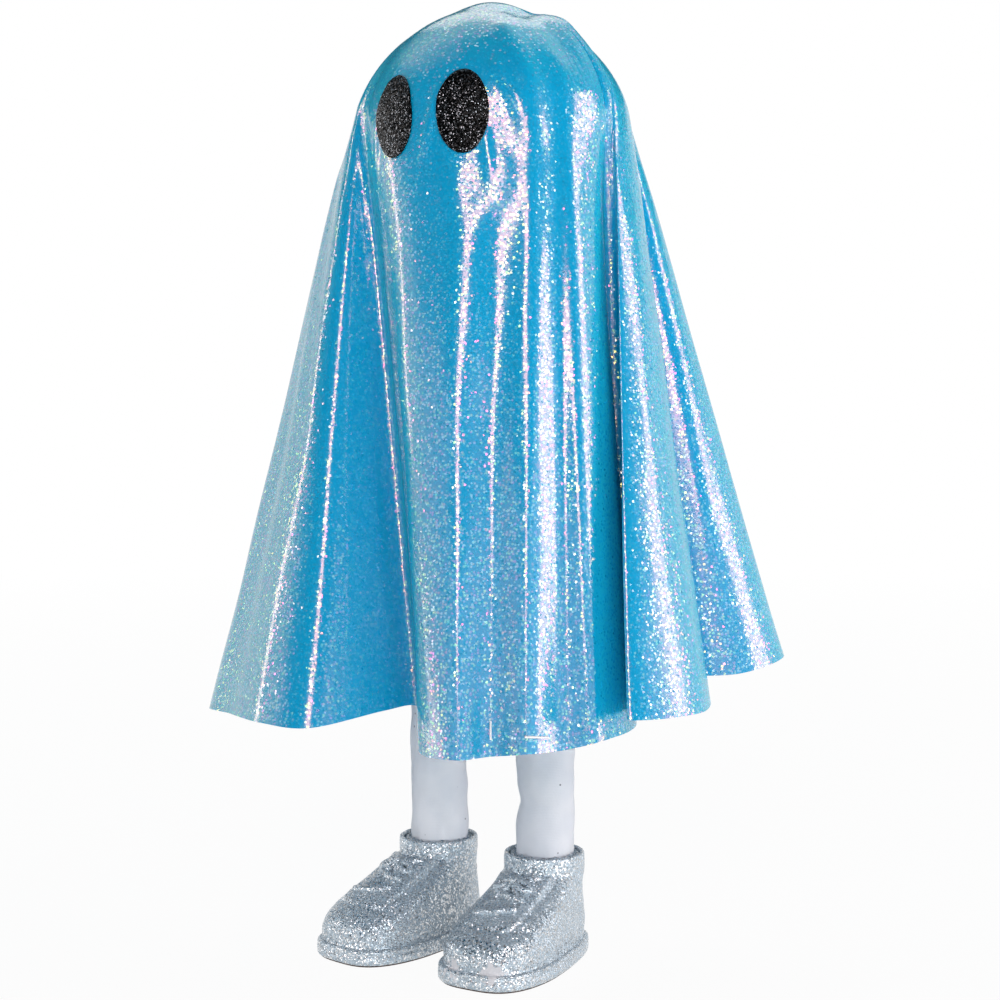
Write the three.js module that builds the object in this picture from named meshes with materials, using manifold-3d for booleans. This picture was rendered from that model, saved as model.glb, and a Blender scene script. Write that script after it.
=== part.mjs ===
// A free-standing sheet ghost: a cloth drape over a ball head, on two legs in glittered ankle boots.
// Millimetres, +Z up. The face looks along -Y and the figure's left hand side is at +X.
import * as THREE from 'three';
import { mergeVertices } from 'three/addons/utils/BufferGeometryUtils.js';
import Module from 'manifold-3d';

const wasm = await Module();
wasm.setup();

// Clearance between pieces that touch
const GAP = 0.3;
const CUT_THROUGH = 2;

// Head ball and the spine that carries it
const HEAD_RADIUS = 64.5;
const HEAD_CENTRE_HEIGHT = 411;
const HEAD_BOTTOM_CUT = 5;
const SPINE_DIAMETER = 12;
const SPINE_NUB = 4.5;
const NECK_DISC_DIAMETER = 44;
const NECK_DISC_THICKNESS = 6;

// Cloth: thickness, its ease over the ball, and how far its pleats stand off the head
const CLOTH_THICKNESS = 1;
const CLOTH_EASE = 2.3;
const PLEAT_STANDOFF = 4.5;
const NUB_FLAT = 3;
const NUB_SLOPE = 11;

// The hem, going round to the figure's left: degrees from the face, distance out, height.
const HEM = [
  [-56, 144, 125], [-38, 140, 128.5], [-20, 144, 131], [-9, 137, 131], [-2.5, 100, 135],
  [2, 82, 135.5], [8, 92, 129], [13, 121, 121], [21.8, 134.5, 121], [28.4, 125, 121],
  [35.6, 134.5, 123.7], [44, 124, 123], [50.5, 129, 126.5], [63, 115, 127.5], [72, 100, 128.5],
  [77, 82, 131], [80.5, 94, 134], [73, 111, 136], [62, 127, 137.3], [55, 138.5, 137.6],
  [63, 141, 137], [76, 136.5, 136.6], [86, 121, 139], [95, 85, 143], [100, 128, 146],
  [114, 149, 151], [129, 134, 150], [138, 98, 147], [150, 141, 145], [169, 130, 141],
  [177, 86, 140], [187, 124, 138], [200, 143, 136.5], [213, 106, 134.5], [225, 139, 132.5],
  [243, 129, 130], [250, 88, 129], [262, 131, 127.5], [279, 145, 126], [290, 103, 125],
];
const COLUMNS_PER_HEM_POINT = 2;
// Where the folds cross the ball: number of the hem point, degrees from the face
const CROWN = [
  [0, -50], [1, -33], [3, -27], [6, 5], [8, 13], [9, 30], [10, 45], [12, 59], [13, 64],
  [18, 76], [19, 85], [20, 93], [22, 110], [25, 130], [40, 310],
];
const DOME_ROWS = [0.42, 0.74, 1];
const SKIRT_ROWS = [0.33, 0.66, 1];
const NORMAL_REACH = 1;

// Eyes: glitter sheet glued to the cloth
const EYE_HEIGHT = 41.5;
const EYE_THICKNESS = 0.8;
const EYE_RISE = 7;
const EYE_LIFT = 0.2;
const EYES = [
  { name: 'left_eye', degrees: 16.8, width: 25 },
  { name: 'right_eye', degrees: -14.2, width: 22.5 },
];

// Legs and the hip block that joins them
const LEG_SPACING = 65;
const LEFT_STEP = 4.5;
const LEG_DIAMETER = 28.5;
const SLEEVE_THICKNESS = 0.8;
const ROD_DIAMETER = 9.5;
const HIP_BOTTOM_HEIGHT = 158;
const HIP_HEIGHT = 44;
const HIP_DEPTH = 34;
const HIP_END_WALL = 14;
const SOCKET_DEPTH = 18;
const SCREW_DIAMETER = 3.5;
const SCREW_HEAD_DIAMETER = 7;
const SCREW_HEAD_HEIGHT = 2.4;
const SCREW_LENGTH = 28;

// Boots, each worked out along its own toe direction
const SHOE_FRONT = 75.5;
const SHOE_BACK = 23;
const BALL_HALF_WIDTH = 28.4;
const HEEL_HALF_WIDTH = 22.7;
const OUTSOLE_THICKNESS = 2.6;
const OUTSOLE_INSET = 1.2;
const WELT_THICKNESS = 5.6;
const WELT_LEDGE = 2.4;
const SHOE_HEIGHT = 52.3;
const COLLAR_RADIUS = 20.2;
const COLLAR_HEIGHT = 9;
const UPPER_WALL = 2.2;
const COLLAR_RECESS = 2;
const FILLER_DEPTH = 10;
const BALLAST_HEIGHT = 15;
const ROD_REST = 2;
const SLEEVE_TUCK = 14;
const LEFT_TURN_DEGREES = -2;
const RIGHT_TURN_DEGREES = -13;
const SOLE_SQUARENESS = 3.1;
const ROUND = 2;
const BALL_SHARE = 0.6;
const UPPER_SETTLES_FROM = 0.15;
// Shares of the way up from the welt to the collar, and of the way out from the collar to the toe
const UPPER_PROFILE = [
  [0, 1], [0.16, 1.005], [0.32, 0.965], [0.46, 0.84], [0.6, 0.66], [0.74, 0.4], [0.86, 0.2], [1, 0],
];

// Laces and heel tab
const LACE_DIAMETER = 3;
const LACE_SPAN = 22;
const LACE_ROWS = [0.93, 0.77, 0.61];
const LACE_LIFT = 0.7;
const KNOT_DIAMETER = 4.8;
const BOW_LOOP_LENGTH = 7;
const BOW_LOOP_WIDTH = 4.2;
const BOW_TILT_DEGREES = 42;
const BOW_SPREAD_DEGREES = 18;
const TAB_WIDTH = 8;
const TAB_THICKNESS = 1;
const TAB_HEIGHT = 12;
const TAB_STANDOFF = 4;
const TAB_LEAN = 0.4;
const TAB_TOP_BELOW_RIM = 14;

// Plastic tack pins through the hem
const TACK_DIAMETER = 1.1;
const TACK_BAR_LENGTH = 13.5;
const TACK_PADDLE_LENGTH = 8.5;
const TACK_STEM_DIAMETER = 0.8;
const TACK_LIFT = 0.3;
const TACKS = [
  { name: 'front_hem_tack_1', column: 18, rise: 11.8, upright: true },
  { name: 'front_hem_tack_2', column: 20.4, rise: 7.3, upright: false },
];

const RING_SIDES = 28;
const LATHE_SIDES = 24;
const HEAD_SIDES = 32;
const HEAD_STEPS = 14;
const BAR_SIDES = 8;
const LACE_SIDES = 6;
const LACE_STEPS = 42;
const TAB_STEPS = 10;

const radians = THREE.MathUtils.degToRad;
const lerp = THREE.MathUtils.lerp;
const smooth = THREE.MathUtils.smoothstep;

const clothRadius = HEAD_RADIUS + CLOTH_EASE + CLOTH_THICKNESS;
const headTop = HEAD_CENTRE_HEIGHT + HEAD_RADIUS;
const nubReach = SPINE_DIAMETER / 2 + NUB_FLAT;
const nubSag = clothRadius - Math.sqrt(clothRadius ** 2 - nubReach ** 2);
const nubLift = Math.max(0, SPINE_NUB + GAP + nubSag - CLOTH_EASE);
const weltBottom = OUTSOLE_THICKNESS + GAP;
const upperBottom = weltBottom + WELT_THICKNESS + GAP;
const collarBottom = SHOE_HEIGHT - COLLAR_HEIGHT;
const ballastBottom = upperBottom + GAP;
const rodBottom = ballastBottom + ROD_REST + GAP;
const sleeveBottom = SHOE_HEIGHT - SLEEVE_TUCK;
const legTop = HIP_BOTTOM_HEIGHT + SOCKET_DEPTH - GAP;

// Geometry helpers

function signedVolume(positions, index) {
  const a = new THREE.Vector3();
  const b = new THREE.Vector3();
  const c = new THREE.Vector3();
  let six = 0;
  for (let i = 0; i < index.length; i += 3) {
    a.fromArray(positions, index[i] * 3);
    b.fromArray(positions, index[i + 1] * 3);
    c.fromArray(positions, index[i + 2] * 3);
    six += a.dot(b.cross(c));
  }
  return six / 6;
}

// A closed body from vertices and triangles, turned so that its faces point out
function body(positions, index) {
  if (signedVolume(positions, index) < 0) {
    for (let i = 0; i < index.length; i += 3) {
      [index[i + 1], index[i + 2]] = [index[i + 2], index[i + 1]];
    }
  }
  const geometry = new THREE.BufferGeometry();
  geometry.setAttribute('position', new THREE.Float32BufferAttribute(positions, 3));
  geometry.setIndex(Array.from(index));
  return geometry;
}

// A skin over rings of equal length, closed by a point at each end. From the returning ring on its
// faces are split along their other diagonal, so that the two sides of a sheet are split alike.
function skin(rings, start, end, returning = rings.length) {
  const sides = rings[0].length;
  const points = [start, ...rings.flat(), end];
  const last = points.length - 1;
  const index = [];
  const at = (ring, side) => 1 + ring * sides + (side % sides);
  for (let s = 0; s < sides; s += 1) {
    index.push(0, at(0, s), at(0, s + 1));
    for (let r = 0; r + 1 < rings.length; r += 1) {
      const [a, b, c, d] = [at(r, s), at(r + 1, s), at(r + 1, s + 1), at(r, s + 1)];
      index.push(...(r < returning ? [a, b, c, a, c, d] : [a, b, d, b, c, d]));
    }
    index.push(at(rings.length - 1, s), last, at(rings.length - 1, s + 1));
  }
  return body(points.flatMap((p) => [p.x, p.y, p.z]), index);
}

function middle(ring) {
  return ring.reduce((sum, p) => sum.add(p), new THREE.Vector3()).divideScalar(ring.length);
}

function loft(rings) {
  return skin(rings, middle(rings[0]), middle(rings[rings.length - 1]));
}

function plain(geometry) {
  const bare = geometry.index ? geometry.toNonIndexed() : geometry.clone();
  bare.deleteAttribute('normal');
  bare.deleteAttribute('uv');
  const merged = mergeVertices(bare, 1e-4);
  return body(Array.from(merged.attributes.position.array), Array.from(merged.index.array));
}

function toSolid(geometry) {
  const merged = plain(geometry);
  return new wasm.Manifold(new wasm.Mesh({
    numProp: 3,
    vertProperties: new Float32Array(merged.attributes.position.array),
    triVerts: new Uint32Array(merged.index.array),
  }));
}

function fromSolid(solid) {
  const mesh = solid.getMesh();
  return body(Array.from(mesh.vertProperties), Array.from(mesh.triVerts));
}

function cut(geometry, ...tools) {
  return fromSolid(tools.reduce((rest, tool) => rest.subtract(toSolid(tool)), toSolid(geometry)));
}

function join(...geometries) {
  return fromSolid(geometries.map(toSolid).reduce((sum, next) => sum.add(next)));
}

// A turned piece about +Z, from a profile of [radius, height] pairs
function turned(profile, sides = LATHE_SIDES) {
  const points = profile.map(([r, z]) => new THREE.Vector2(r, z));
  return plain(new THREE.LatheGeometry(points, sides).rotateX(Math.PI / 2));
}

function tube(inner, outer, bottom, top) {
  return turned([[inner, bottom], [outer, bottom], [outer, top], [inner, top], [inner, bottom]]);
}

function rod(radius, bottom, top) {
  return turned([[0, bottom], [radius, bottom], [radius, top], [0, top]]);
}

function sweep(path, radius, sides, steps) {
  const section = new THREE.Shape();
  for (let i = 0; i < sides; i += 1) {
    const angle = (2 * Math.PI * i) / sides;
    section[i ? 'lineTo' : 'moveTo'](radius * Math.cos(angle), radius * Math.sin(angle));
  }
  return plain(new THREE.ExtrudeGeometry(section, { steps, extrudePath: path, bevelEnabled: false }));
}

const figure = new THREE.Group();

function add(group, name, geometry, color, roughness, metalness) {
  const material = new THREE.MeshStandardMaterial({ color, roughness, metalness });
  const mesh = new THREE.Mesh(geometry, material);
  mesh.name = name;
  group.add(mesh);
  return mesh;
}

// The drape. A column runs from the crown down the ball, leaves it where a straight line to its
// hem point touches the ball, and hangs straight from there.

function hemPoint([degrees, out, height]) {
  const angle = radians(degrees);
  return new THREE.Vector3(out * Math.sin(angle), -out * Math.cos(angle), height);
}

const hemCurve = new THREE.CatmullRomCurve3(HEM.map(hemPoint), true, 'catmullrom', 0.5);
const columnCount = HEM.length * COLUMNS_PER_HEM_POINT;
const hemPoints = Array.from({ length: columnCount }, (_, i) => hemCurve.getPoint(i / columnCount));

// The angle at which each column crosses the ball, between the folds shared out by hem length
function crownAngles() {
  const runs = [0];
  hemPoints.forEach((p, i) => runs.push(runs[i] + p.distanceTo(hemPoints[(i + 1) % columnCount])));
  const runTo = (hemPointNumber) => runs[hemPointNumber * COLUMNS_PER_HEM_POINT];
  return hemPoints.map((_, i) => {
    const next = CROWN.findIndex(([number]) => number * COLUMNS_PER_HEM_POINT > i);
    const [from, fromAngle] = CROWN[next - 1];
    const [to, toAngle] = CROWN[next];
    const share = (runs[i] - runTo(from)) / (runTo(to) - runTo(from));
    return radians(lerp(fromAngle, toAngle, share));
  });
}

const crown = crownAngles();
const outs = HEM.map((row) => row[1]);
const valleyOut = Math.min(...outs);
const ridgeOut = Math.max(...outs);

// A column at any place between the numbered ones
function column(place) {
  const below = Math.floor(place);
  const part = place - below;
  const i = ((below % columnCount) + columnCount) % columnCount;
  const j = (i + 1) % columnCount;
  const step = Math.atan2(Math.sin(crown[j] - crown[i]), Math.cos(crown[j] - crown[i]));
  const hem = part ? hemPoints[i].clone().lerp(hemPoints[j], part) : hemPoints[i];
  const out = Math.hypot(hem.x, hem.y);
  const drop = HEAD_CENTRE_HEIGHT - hem.z;
  const leave = Math.PI - Math.atan2(out, drop) - Math.acos(clothRadius / Math.hypot(out, drop));
  const ridge = THREE.MathUtils.clamp((out - valleyOut) / (ridgeOut - valleyOut), 0, 1);
  return { hem, leave, ridge, angle: crown[i] + part * step };
}

function onDome(angle, polar, radius) {
  const out = radius * Math.sin(polar);
  const height = HEAD_CENTRE_HEIGHT + radius * Math.cos(polar);
  return new THREE.Vector3(out * Math.sin(angle), -out * Math.cos(angle), height);
}

// The cloth's outer face, a given length down a column from the crown
function clothPoint(place, length) {
  const { hem, leave, ridge, angle } = column(place);
  const arc = clothRadius * leave;
  const from = onDome(angle, leave, clothRadius);
  const straight = from.distanceTo(hem);
  const point = length <= arc
    ? onDome(angle, length / clothRadius, clothRadius)
    : from.lerp(hem, (length - arc) / straight);
  const rise = smooth(length, 0.5 * clothRadius, 1.5 * clothRadius);
  const fade = 1 - smooth(length, 1.5 * clothRadius, arc + straight);
  const away = new THREE.Vector3(Math.sin(angle), -Math.cos(angle), 0);
  point.z += nubLift * (1 - smooth(length, nubReach, nubReach + NUB_SLOPE));
  return point.addScaledVector(away, PLEAT_STANDOFF * ridge * rise * fade);
}

function columnLengths(place) {
  const { hem, leave, angle } = column(place);
  const arc = clothRadius * leave;
  return [arc, onDome(angle, leave, clothRadius).distanceTo(hem)];
}

// Rings of the cloth at a distance from its outer face: round the nub, down the ball, down the skirt
function clothRings(lift) {
  const rows = [...DOME_ROWS.map((share) => [share, 0]), ...SKIRT_ROWS.map((share) => [1, share])];
  const ring = (lengthOf) => hemPoints.map((_, i) => {
    const length = lengthOf(columnLengths(i));
    return clothPoint(i, length).addScaledVector(clothNormal(i, length), lift);
  });
  return [
    ring(() => nubReach),
    ...rows.map(([dome, skirt]) => ring(([arc, straight]) => dome * arc + skirt * straight)),
  ];
}

function clothNormal(place, length) {
  const across = clothPoint(place + 0.25, length).sub(clothPoint(place - 0.25, length));
  const along = clothPoint(place, length + NORMAL_REACH).sub(clothPoint(place, length - NORMAL_REACH));
  return along.cross(across).normalize();
}

function drape(holes) {
  const top = new THREE.Vector3(0, 0, HEAD_CENTRE_HEIGHT + clothRadius + nubLift);
  const under = top.clone().setZ(top.z - CLOTH_THICKNESS);
  const outer = clothRings(0);
  const inner = clothRings(-CLOTH_THICKNESS).reverse();
  return cut(skin([...outer, ...inner], top, under, outer.length), ...holes);
}

// The place between columns whose crown angle is nearest to the one asked for
function placeAt(angle) {
  const turn = 2 * Math.PI;
  const ahead = THREE.MathUtils.euclideanModulo(angle - crown[0], turn);
  for (let i = 0; i < columnCount; i += 1) {
    const from = THREE.MathUtils.euclideanModulo(crown[i] - crown[0], turn);
    const to = i + 1 < columnCount ? THREE.MathUtils.euclideanModulo(crown[i + 1] - crown[0], turn) : turn;
    if (ahead >= from && ahead < to) {
      return i + (ahead - from) / (to - from);
    }
  }
  return 0;
}

function eye({ degrees, width }) {
  const centreLength = clothRadius * Math.acos(EYE_RISE / clothRadius);
  const layer = (share, lift) => Array.from({ length: RING_SIDES }, (_, i) => {
    const t = (2 * Math.PI * i) / RING_SIDES;
    const sideways = (share * width * Math.cos(t)) / 2 / clothRadius;
    const place = placeAt(radians(degrees) + sideways);
    const length = centreLength + (share * EYE_HEIGHT * Math.sin(t)) / 2;
    return clothPoint(place, length).addScaledVector(clothNormal(place, length), lift);
  });
  const under = GAP + EYE_LIFT;
  const over = under + EYE_THICKNESS;
  const rings = [layer(0.5, under), layer(1, under), layer(1, over), layer(0.5, over)];
  return loft(rings);
}

// Pieces inside the figure

function headBall() {
  const hole = SPINE_DIAMETER / 2 + GAP;
  const bottom = HEAD_BOTTOM_CUT - HEAD_RADIUS;
  const start = Math.acos(bottom / HEAD_RADIUS);
  const end = Math.asin(hole / HEAD_RADIUS);
  const profile = [[hole, HEAD_CENTRE_HEIGHT + bottom]];
  for (let i = 0; i <= HEAD_STEPS; i += 1) {
    const polar = lerp(start, end, i / HEAD_STEPS);
    profile.push([HEAD_RADIUS * Math.sin(polar), HEAD_CENTRE_HEIGHT + HEAD_RADIUS * Math.cos(polar)]);
  }
  profile.push(profile[0]);
  return turned(profile, HEAD_SIDES);
}

const legs = [
  { side: 'left', x: LEG_SPACING / 2, y: -LEFT_STEP, turn: LEFT_TURN_DEGREES },
  { side: 'right', x: -LEG_SPACING / 2, y: 0, turn: RIGHT_TURN_DEGREES },
];
const spineBottom = HIP_BOTTOM_HEIGHT + HIP_HEIGHT - SOCKET_DEPTH + GAP;
const hipFront = -(HIP_DEPTH + LEFT_STEP) / 2;
const legScrewHeight = HIP_BOTTOM_HEIGHT + SOCKET_DEPTH / 2;
const spineScrewHeight = HIP_BOTTOM_HEIGHT + HIP_HEIGHT - SOCKET_DEPTH / 2;

// A countersunk screw or its hole, driven along +Y from the block's front face
function screwShape(x, height, clearance) {
  const shank = SCREW_DIAMETER / 2 + clearance;
  const head = SCREW_HEAD_DIAMETER / 2 + clearance;
  const tip = SCREW_LENGTH + clearance;
  const face = clearance ? -CUT_THROUGH : 0;
  const profile = [
    [0, face], [head, face], [head, GAP], [shank, SCREW_HEAD_HEIGHT + GAP],
    [shank, tip - shank], [0, tip],
  ];
  const turnedScrew = turned(profile);
  turnedScrew.rotateX(-Math.PI / 2);
  return turnedScrew.translate(x, hipFront, height);
}

const screws = [
  { name: 'left_leg_screw', x: legs[0].x, height: legScrewHeight },
  { name: 'right_leg_screw', x: legs[1].x, height: legScrewHeight },
  { name: 'spine_screw', x: 0, height: spineScrewHeight },
];

function screwHoles() {
  return screws.map(({ x, height }) => screwShape(x, height, GAP));
}

function hipBlock() {
  const length = LEG_SPACING + ROD_DIAMETER + 2 * HIP_END_WALL;
  const centre = HIP_BOTTOM_HEIGHT + HIP_HEIGHT / 2;
  const block = new THREE.BoxGeometry(length, HIP_DEPTH, HIP_HEIGHT);
  block.translate(0, -LEFT_STEP / 2, centre);
  const sockets = legs.map(({ x, y }) => (
    rod(ROD_DIAMETER / 2 + GAP, HIP_BOTTOM_HEIGHT - CUT_THROUGH, legTop + GAP).translate(x, y, 0)
  ));
  const top = HIP_BOTTOM_HEIGHT + HIP_HEIGHT + CUT_THROUGH;
  const spineSocket = rod(SPINE_DIAMETER / 2 + GAP, spineBottom - GAP, top);
  return cut(block, ...sockets, spineSocket, ...screwHoles());
}

// Boots

// An outline round a foot whose toe points along -Y, from its reach and its half widths
function footRing(front, back, ball, heel, squareness, z) {
  return Array.from({ length: RING_SIDES }, (_, i) => {
    const t = (2 * Math.PI * i) / RING_SIDES;
    const bend = (v) => Math.sign(v) * Math.abs(v) ** (2 / squareness);
    const along = lerp(-back, front, (1 + bend(Math.cos(t))) / 2);
    const wide = lerp(heel, ball, smooth(along, -back, BALL_SHARE * front));
    return new THREE.Vector3(wide * bend(Math.sin(t)), -along, z);
  });
}

function soleRing(inset, z) {
  return footRing(SHOE_FRONT - inset, SHOE_BACK - inset, BALL_HALF_WIDTH - inset,
    HEEL_HALF_WIDTH - inset, SOLE_SQUARENESS, z);
}

// One ring of the upper, at a share of the way from the welt to the collar
function upperRing(up, out, inset, z) {
  const full = WELT_LEDGE + inset;
  const neck = COLLAR_RADIUS - inset;
  const settle = smooth(up, UPPER_SETTLES_FROM, 1);
  return footRing(
    lerp(neck, SHOE_FRONT - full, out),
    lerp(SHOE_BACK - full, neck, settle),
    lerp(BALL_HALF_WIDTH - full, neck, settle),
    lerp(HEEL_HALF_WIDTH - full, neck, settle),
    lerp(SOLE_SQUARENESS, ROUND, settle),
    z,
  );
}

function upperRings(inset) {
  const rise = collarBottom - upperBottom;
  return UPPER_PROFILE.map(([up, out]) => upperRing(up, out, inset, upperBottom + up * rise - inset));
}

function bootUpper() {
  const neck = upperRing(1, 0, 0, SHOE_HEIGHT);
  const bore = upperRing(1, 0, UPPER_WALL, SHOE_HEIGHT + CUT_THROUGH);
  const floor = upperRing(0, 1, UPPER_WALL, upperBottom - CUT_THROUGH - UPPER_WALL);
  return cut(loft([...upperRings(0), neck]), loft([floor, ...upperRings(UPPER_WALL), bore]));
}

// How far out the toe reaches at a height up the upper, read between the profile's rows
function outAt(up) {
  const next = Math.max(1, UPPER_PROFILE.findIndex(([share]) => share >= up));
  const [upA, outA] = UPPER_PROFILE[next - 1];
  const [upB, outB] = UPPER_PROFILE[next];
  return lerp(outA, outB, (up - upA) / (upB - upA));
}

// A point on the instep, lifted off it by a given height
function onInstep(up, across, lift) {
  const settle = smooth(up, UPPER_SETTLES_FROM, 1);
  const front = lerp(COLLAR_RADIUS, SHOE_FRONT - WELT_LEDGE, outAt(up));
  const half = lerp(BALL_HALF_WIDTH - WELT_LEDGE, COLLAR_RADIUS, settle);
  const squareness = lerp(SOLE_SQUARENESS, ROUND, settle);
  const height = lerp(upperBottom, collarBottom, up);
  const reach = front * (1 - Math.abs(across / half) ** squareness) ** (1 / squareness);
  const slope = new THREE.Vector3(across / half, -1, 1).normalize();
  return new THREE.Vector3(across, -reach, height).addScaledVector(slope, lift);
}

// A cord laced from side to side over the instep, with a bow at its top
function laces() {
  const lift = LACE_DIAMETER / 2 + GAP + LACE_LIFT;
  const points = [];
  LACE_ROWS.forEach((up, row) => {
    const way = row % 2 ? 1 : -1;
    for (const share of [1, 0.55, 0, -0.55, -1]) {
      points.push(onInstep(up, (way * share * LACE_SPAN) / 2, lift));
    }
  });
  const path = new THREE.CatmullRomCurve3(points, false, 'catmullrom', 0.4);
  const cord = sweep(path, LACE_DIAMETER / 2, LACE_SIDES, LACE_STEPS);
  const centre = onInstep(LACE_ROWS[0], 0, lift + KNOT_DIAMETER / 2);
  const knot = new THREE.SphereGeometry(KNOT_DIAMETER / 2, 10, 8).translate(...centre.toArray());
  return join(cord, knot, bowLoop(-1, centre), bowLoop(1, centre));
}

function bowLoop(side, centre) {
  const cordShare = LACE_DIAMETER / (BOW_LOOP_LENGTH + BOW_LOOP_WIDTH);
  const loop = new THREE.TorusGeometry(1, cordShare, LACE_SIDES, 16);
  loop.scale(BOW_LOOP_LENGTH / 2, BOW_LOOP_WIDTH / 2, LACE_DIAMETER / 2);
  loop.rotateX(radians(BOW_TILT_DEGREES));
  loop.rotateZ(radians(-BOW_SPREAD_DEGREES * side));
  const reach = (BOW_LOOP_LENGTH + LACE_DIAMETER / 2) / 2;
  return loop.translate(centre.x + side * reach, centre.y, centre.z);
}

function heelTab() {
  const top = SHOE_HEIGHT - TAB_TOP_BELOW_RIM;
  const up = (top - upperBottom) / (collarBottom - upperBottom);
  const foot = lerp(SHOE_BACK - WELT_LEDGE, COLLAR_RADIUS, smooth(up, UPPER_SETTLES_FROM, 1));
  const base = Math.max(COLLAR_RADIUS, foot) + GAP + TAB_THICKNESS / 2;
  const path = new THREE.CatmullRomCurve3([
    new THREE.Vector3(0, base + TAB_LEAN, top),
    new THREE.Vector3(0, base + 0.8 * TAB_STANDOFF, top - 0.3 * TAB_HEIGHT),
    new THREE.Vector3(0, base + TAB_STANDOFF, top - 0.6 * TAB_HEIGHT),
    new THREE.Vector3(0, base + 0.7 * TAB_STANDOFF, top - TAB_HEIGHT),
  ]);
  const wide = TAB_WIDTH / 2;
  const thick = TAB_THICKNESS / 2;
  const section = new THREE.Shape();
  section.moveTo(-wide, -thick);
  section.lineTo(wide, -thick);
  section.lineTo(wide, thick);
  section.lineTo(-wide, thick);
  section.closePath();
  return plain(new THREE.ExtrudeGeometry(section, {
    steps: TAB_STEPS,
    extrudePath: path,
    bevelEnabled: false,
  }));
}

function ballast() {
  const inset = UPPER_WALL + GAP;
  const top = ballastBottom + BALLAST_HEIGHT;
  const up = (top + inset - upperBottom) / (collarBottom - upperBottom);
  const block = loft([
    upperRing(0, 1, inset, ballastBottom),
    ...upperRings(inset).filter(([first]) => first.z > ballastBottom && first.z < top - inset),
    upperRing(up, outAt(up), inset, top),
  ]);
  return cut(block, rod(ROD_DIAMETER / 2 + GAP, rodBottom - GAP, top + CUT_THROUGH));
}

const GLITTER = [0x95a1a8, 0.45, 0.3];
const WOOD = [0xc9a36b, 0.7, 0];

function addBoot({ side, x, y, turn }) {
  const boot = new THREE.Group();
  boot.position.set(x, y, 0);
  boot.rotation.z = radians(turn);
  const outsole = loft([soleRing(OUTSOLE_INSET, 0), soleRing(OUTSOLE_INSET, OUTSOLE_THICKNESS)]);
  const welt = loft([soleRing(0, weltBottom), soleRing(0, weltBottom + WELT_THICKNESS)]);
  add(boot, `${side}_boot_outsole`, outsole, 0x3a2a22, 0.8, 0);
  add(boot, `${side}_boot_welt`, welt, ...GLITTER);
  add(boot, `${side}_boot_upper`, bootUpper(), ...GLITTER);
  add(boot, `${side}_boot_lace`, laces(), ...GLITTER);
  add(boot, `${side}_boot_heel_tab`, heelTab(), 0x7d878d, 0.7, 0);
  add(boot, `${side}_boot_ballast`, ballast(), 0x7a7672, 0.95, 0);
  figure.add(boot);
}

function addLeg({ side, x, y }) {
  const leg = new THREE.Group();
  leg.position.set(x, y, 0);
  const radius = LEG_DIAMETER / 2;
  const inside = radius - SLEEVE_THICKNESS;
  const top = HIP_BOTTOM_HEIGHT - GAP;
  const fillerTop = SHOE_HEIGHT - COLLAR_RECESS;
  const fillerOutside = COLLAR_RADIUS - UPPER_WALL - GAP;
  const screwHole = screwShape(x, legScrewHeight, GAP).translate(-x, -y, 0);
  const legRod = cut(rod(ROD_DIAMETER / 2, rodBottom, legTop), screwHole);
  const wadding = tube(ROD_DIAMETER / 2 + GAP, inside - GAP, sleeveBottom, top);
  const filler = tube(radius + GAP, fillerOutside, fillerTop - FILLER_DEPTH, fillerTop);
  add(leg, `${side}_leg_rod`, legRod, ...WOOD);
  add(leg, `${side}_leg_wadding`, wadding, 0xf2f2f0, 0.95, 0);
  add(leg, `${side}_leg_sleeve`, tube(inside, radius, sleeveBottom, top), 0xd3d9e3, 0.85, 0);
  add(leg, `${side}_boot_filler`, filler, ...GLITTER);
  figure.add(leg);
}

// Tack pins: a bar on one face of the cloth, a stem through it and a paddle on the other
function tackParts({ column: place, rise, upright }, clearance) {
  const [arc, straight] = columnLengths(place);
  const length = arc + straight - rise;
  const at = clothPoint(place, length);
  const normal = clothNormal(place, length);
  const down = clothPoint(place, length + NORMAL_REACH).sub(at).normalize();
  const along = upright ? down : normal.clone().cross(down).normalize();
  const radius = TACK_DIAMETER / 2;
  const outside = at.clone().addScaledVector(normal, TACK_LIFT + GAP + radius);
  const inside = at.clone().addScaledVector(normal, -(CLOTH_THICKNESS + TACK_LIFT + GAP + radius));
  const bar = (centre, size) => sweep(new THREE.LineCurve3(
    centre.clone().addScaledVector(along, -size / 2),
    centre.clone().addScaledVector(along, size / 2),
  ), radius, BAR_SIDES, 1);
  const through = new THREE.LineCurve3(outside, inside);
  const stem = sweep(through, TACK_STEM_DIAMETER / 2 + clearance, BAR_SIDES, 1);
  const sizes = upright ? [TACK_PADDLE_LENGTH, TACK_BAR_LENGTH] : [TACK_BAR_LENGTH, TACK_PADDLE_LENGTH];
  return { stem, outer: bar(outside, sizes[0]), inner: bar(inside, sizes[1]) };
}

function addTack(tack) {
  const { stem, outer, inner } = tackParts(tack, 0);
  add(figure, tack.name, join(stem, outer, inner), 0xf4f4f0, 0.4, 0);
}

// Assembly

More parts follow.
